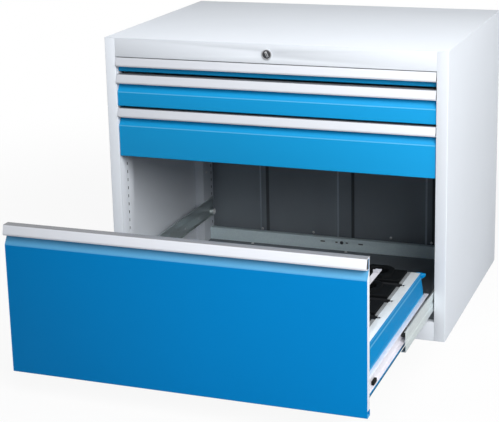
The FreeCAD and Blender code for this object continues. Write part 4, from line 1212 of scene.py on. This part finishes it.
@dataclass
class Slides:
    """The telescopic slides with their rails, glides and rollers."""

    rail_edge: float = 0.0003
    buffer_edge: float = 0.001
    dock_roller: Point = (0.457, 0.317, 0.09985)
    rivet: Point = (0.4695, 0.210, 0.104)
    rivet_count: int = 5
    rivet_step: float = 0.120

    def build(self) -> None:
        """Dress the rails and the rollers, and add the roller faces and rivets."""
        for number in range(1, 5):
            for body, kind, finish in (
                ("cabinet", "cabinet", Finish.SLIDE_STEEL),
                (f"slide_{number}", "slide", Finish.SLIDE_STEEL),
                (f"drawer_{number}", "drawer", Finish.DRAWER_RAIL),
            ):
                dress(body, finish, (f"{kind}_rails_{number}",), self.rail_edge)
            rolling = "rollers" if number == 4 else "glides"
            dress(f"slide_{number}", Finish.ROLLER, (f"{rolling}_{number}",))
        dress("drawer_4", Finish.BUFFER, ("drawer_buffers_4",), self.buffer_edge)
        for side in Side:
            self.add_heads(side)

    def add_heads(self, side: Side) -> None:
        """The rear roller's bright face and the rivets of a fixed rail.

        Args:
            side: The rail's side.
        """
        way = -side.value
        across, back, up = self.dock_roller
        name = f"dock_roller_face_{side.word}"
        place = (side.value * across, back, up)
        ring = turned(name, DOCK_ROLLER_FACE, Axis.X, way, place, 48)
        mount(ring, "cabinet", Finish.NYLON)
        across, back, up = self.rivet
        Row(f"rail_rivets_{side.word}").lay(
            turned("rivet", RIVET_HEAD, Axis.X, way, steps=16),
            "cabinet", Finish.NYLON,
            (side.value * across, back, up),
            (self.rivet_count, (0.0, -self.rivet_step, 0.0)),
        )


@dataclass
class ToolDrawer:
    """The frame of the tall drawer, its carriers and the rows of sockets."""

    files: int = 6
    ranks: int = 4
    file_step: float = 0.136
    rank_step: float = 0.122
    insert_edge: float = 0.0008
    socket_mouth: float = 0.0312
    socket_foot: float = 0.0225
    socket_wall: float = 0.0016
    clip_edge: float = 0.0005
    clip_across: Flat = (0.4119, 0.4209)
    clip_long: float = 0.092
    clip_tall: float = 0.0025
    side_edge: float = 0.0004
    waist_in: float = 0.0065
    waist_rise: float = 0.116
    waist_bend: float = 0.009
    band_rise: float = 0.073
    ear_edge: float = 0.0003
    ear_thick: float = 0.0015
    ear: Sequence[Flat] = (
        (0.447, 0.218), (0.460, 0.2165), (0.459, 0.209), (0.448, 0.200),
    )

    def build(self) -> None:
        """Dress the frame and the inserts, and add sockets, clips and ears."""
        dress("drawer_4", Finish.TRAY_GREY, ("frame_rear_bar",))
        dress("drawer_4", Finish.TOOL_RAIL, ("tool_rails",))
        dress("drawer_4", Finish.CARRIER, ("tool_carriers",))
        rows = [f"tool_inserts_{number}" for number in range(1, self.ranks + 1)]
        dress("drawer_4", Finish.INSERT, rows, self.insert_edge)
        low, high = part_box(rows[0])
        self.add_sockets((low.y + high.y) / 2, low.z, high.z - low.z)
        for side in Side:
            self.dress_side(side)
            self.add_end_clips(side, (low.y + high.y) / 2)
            self.add_ear(side)

    def dress_side(self, side: Side) -> None:
        """A folded side with soft bends at its waist and above its band.

        Args:
            side: The side.
        """
        node = f"frame_side_{side.word}"
        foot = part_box(node)[0].z
        outer = side.face(node, outer=True)
        waist = (outer - side.value * self.waist_in, foot + self.waist_rise)
        band = (outer, foot + self.band_rise)
        bends = Bends((waist, band), self.waist_bend, Axis.Y)
        dress("drawer_4", Finish.FRAME_BLUE, (node,), self.side_edge, bends)

    def add_ear(self, side: Side) -> None:
        """A small ear turned out at the rear end of a side's top edge.

        Args:
            side: The side.
        """
        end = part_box(f"frame_side_{side.word}")[1].y
        ear = extrude(
            f"frame_ear_{side.word}",
            [(side.value * x, z) for x, z in self.ear],
            Axis.Y,
            (end - self.ear_thick, end),
            self.ear_edge,
        )
        mount(ear, "drawer_4", Finish.FRAME_BLUE)

    def add_end_clips(self, side: Side, centre: float) -> None:
        """A steel clip on each carrier's end, beside the tool rail.

        Args:
            side: The side.
            centre: The Y of the first row's middle.
        """
        near, far = (side.value * x for x in self.clip_across)
        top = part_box("tool_carriers")[1].z
        outline = rectangle((near, far), (top - self.clip_tall, top + self.clip_tall))
        half = self.clip_long / 2
        Row(f"carrier_clips_{side.word}").lay(
            extrude("clip", outline, Axis.Y, (-half, half), self.clip_edge),
            "drawer_4", Finish.CLIP,
            (0.0, centre, 0.0),
            (self.ranks, (0.0, self.rank_step, 0.0)),
        )

    def add_sockets(self, centre: float, foot: float, deep: float) -> None:
        """A tapered sleeve in each bore.

        Args:
            centre: The Y of the first row's middle.
            foot: The Z of the inserts' underside.
            deep: How tall the inserts are.
        """
        mouth, narrow = self.socket_mouth, self.socket_foot
        lip = (mouth - 0.0014, deep - 0.0040)
        profile = (
            lip, (mouth - 0.0004, deep - 0.0012), (mouth, deep - 0.0006),
            (mouth, deep - 0.0030), (narrow + self.socket_wall, 0.0006),
            (narrow, 0.0006), lip,
        )
        Row("tapered_sockets").lay(
            turned("sleeve", profile, Axis.Z, steps=40),
            "drawer_4", Finish.INSERT,
            (-(self.files - 1) * self.file_step / 2, centre, foot),
            (self.files, (self.file_step, 0.0, 0.0)),
            (self.ranks, (0.0, self.rank_step, 0.0)),
        )


@dataclass
class CentralLock:
    """The lock behind the lock rail, with its rod, bar and catches."""

    edge: float = 0.0003
    keyway_lean: float = 0.42
    keyway_edge: float = 0.0001
    keyway_sunk: float = 0.0002
    lips: Point = (0.0062, 0.0165, 0.0005)
    # Size of the dark bar that paints the shade in the keyway's slot.
    slot: Point = (0.0018, 0.0120, 0.0007)

    def build(self) -> None:
        """Dress every part of the lock."""
        dress("cabinet", Finish.LOCK_STEEL, ("lock_fittings",), self.edge)
        dress("lock_barrel", Finish.CHROME, ("lock_barrel",), self.edge)
        dress("lock_barrel", Finish.LOCK_STEEL, ("lock_cam",), self.edge)
        dress("lock_rod", Finish.LOCK_STEEL, ("lock_rod",))
        dress("lock_bar", Finish.LOCK_STEEL, ("lock_bar", "lock_teeth"))
        for number in range(1, 5):
            catch = f"lock_catch_{number}"
            dress(f"drawer_{number}", Finish.CATCH, (catch,), self.edge)
        self.add_keyway("keyway_lips", self.lips, Finish.KEYWAY)
        # A dark bar as painted shade in the keyway's slot.
        self.add_keyway("keyway_slot", self.slot, Finish.BUFFER)

    def add_keyway(self, name: str, size: Point, finish: Finish) -> None:
        """A leaning bar on the barrel's face: the keyway's lips, or a dark bar that
        paints the shade in its slot.

        Args:
            name: The piece's name.
            size: How wide, long and thick it is.
            finish: Its finish.
        """
        low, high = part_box("lock_barrel")
        across, up = (low.x + high.x) / 2, (low.z + high.z) / 2
        wide, long, thick = size
        cosine, sine = math.cos(self.keyway_lean), math.sin(self.keyway_lean)
        outline = [
            (across + x * cosine - z * sine, up + x * sine + z * cosine)
            for x, z in rectangle((-wide / 2, wide / 2), (-long / 2, long / 2))
        ]
        span = (low.y - thick, low.y + self.keyway_sunk)
        piece = extrude(name, outline, Axis.Y, span, self.keyway_edge)
        mount(piece, "lock_barrel", finish)


# ---- studio


@dataclass(frozen=True)
class Lamp:
    """A soft square lamp."""

    name: str
    place: Point
    aim: Point
    size: float
    power: float

    def hang(self) -> None:
        """Add the lamp to the scene."""
        data = bpy.data.lights.new(self.name, "AREA")
        data.shape = "RECTANGLE"
        data.size = data.size_y = self.size
        data.energy = self.power
        lamp = bpy.data.objects.new(self.name, data)
        lamp.location = self.place
        ray = Vector(self.aim) - Vector(self.place)
        lamp.rotation_euler = ray.to_track_quat("-Z", "Y").to_euler()
        bpy.context.scene.collection.objects.link(lamp)


@dataclass
class Studio:
    """The floor, the sky, the lamps and the camera."""

    camera_place: Point = (1.27707, -3.92536, 1.48411)
    camera_right: Point = (0.93749559, 0.34726276, -0.0225961)
    camera_up: Point = (-0.06786148, 0.24611663, 0.96686164)
    camera_back: Point = (0.34131632, -0.90489512, 0.25429903)
    focal_pixels: float = 1388.98
    frame_size: Flat = (499.0, 422.0)
    axis_row: float = 160.0
    film: float = 36.0
    horizon: float = 100.0
    lamps: Sequence[Lamp] = (
        Lamp("key", (2.5, -3.3, 2.8), (0.0, -0.35, 0.4), 2.6, 188.0),
        Lamp("front", (0.2, -1.7, 2.3), (0.0, -0.35, 0.55), 0.9, 15.0),
        Lamp("side", (3.6, -0.9, 1.6), (0.4, -0.4, 0.4), 1.8, 38.0),
        Lamp("top", (0.2, 0.5, 3.6), (0.0, 0.0, 0.8), 2.0, 26.0),
    )
    floor_reach: float = 30.0
    floor_level: float = -0.0004
    floor_tones: tuple[Colour, Colour] = ((0.58, 0.58, 0.58), (0.62, 0.62, 0.62))
    floor_grain: float = 6.0
    floor_roughness: float = 0.6
    floor_glow: float = 0.92
    fade: Flat = (1.2, 1.6)
    sky_light: Colour = (0.95, 0.975, 1.0)
    sky_strength: float = 0.16

    def build(self) -> None:
        """Set up the whole studio."""
        self.set_camera()
        self.lay_floor()
        self.light_sky()
        for lamp in self.lamps:
            lamp.hang()
        bpy.context.scene.view_settings.view_transform = "Standard"

    def set_camera(self) -> None:
        """The camera at the photograph's place."""
        width, height = self.frame_size
        data = bpy.data.cameras.new("portrait")
        data.sensor_fit = "HORIZONTAL"
        data.sensor_width = self.film
        data.lens = self.focal_pixels / width * self.film
        data.shift_y = (self.axis_row - height / 2) / width
        data.clip_end = self.horizon
        camera = bpy.data.objects.new("portrait", data)
        axes = (self.camera_right, self.camera_up, self.camera_back)
        turn = Matrix(axes).transposed().to_4x4()
        camera.matrix_world = Matrix.Translation(self.camera_place) @ turn
        bpy.context.scene.collection.objects.link(camera)
        bpy.context.scene.camera = camera

    def lay_floor(self) -> None:
        """A pale floor that fades to white and keeps the shadow near the object."""
        mesh = bmesh.new()
        span = (-self.floor_reach, self.floor_reach)
        corners = [(x, y, self.floor_level) for x, y in rectangle(span, span)]
        mesh.faces.new([mesh.verts.new(corner) for corner in corners])
        floor = settle("floor", mesh)
        bench = Bench("studio_floor")
        colour = bench.blend(bench.noise(self.floor_grain), *self.floor_tones)
        matt = {"Color": colour, "Roughness": self.floor_roughness}
        matt = bench.node("ShaderNodeBsdfDiffuse", {}, matt)
        glow = bench.node("ShaderNodeEmission", {}, {"Color": WHITE})
        length = {"operation": "LENGTH"}
        far = bench.node("ShaderNodeVectorMath", length, {0: bench.place})
        fade = Signal(bench, far.outputs["Value"]).above(*self.fade)
        fade = fade * (1.0 - self.floor_glow) + self.floor_glow
        mixed = {0: bench.seen("Camera") * fade, 1: matt, 2: glow}
        white = bench.finish("MixShader", mixed)
        floor.data.materials.append(white)

    def light_sky(self) -> None:
        """A white sky, dimmer for the light that it gives."""
        world = bpy.data.worlds.new("sky")
        bpy.context.scene.world = world
        bench = Bench("sky", world)
        dim, white = (
            bench.node("ShaderNodeBackground", {}, {"Color": tone, "Strength": level})
            for tone, level in ((self.sky_light, self.sky_strength), (WHITE, 1.0))
        )
        share = bench.seen("Camera", "Glossy", "Transmission")
        bench.finish("MixShader", {0: share, 1: dim, 2: white})


def main() -> None:
    """Build the studio and every sub-assembly, and log each piece and each finished
    sub-assembly.
    """
    logging.basicConfig(level=logging.INFO, format="%(message)s")
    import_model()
    Studio().build()
    for part in (Carcase(), Fronts(), Slides(), ToolDrawer(), CentralLock()):
        part.build()
        LOG.info("%s is done", type(part).__name__)


if __name__ == "__main__":
    main()
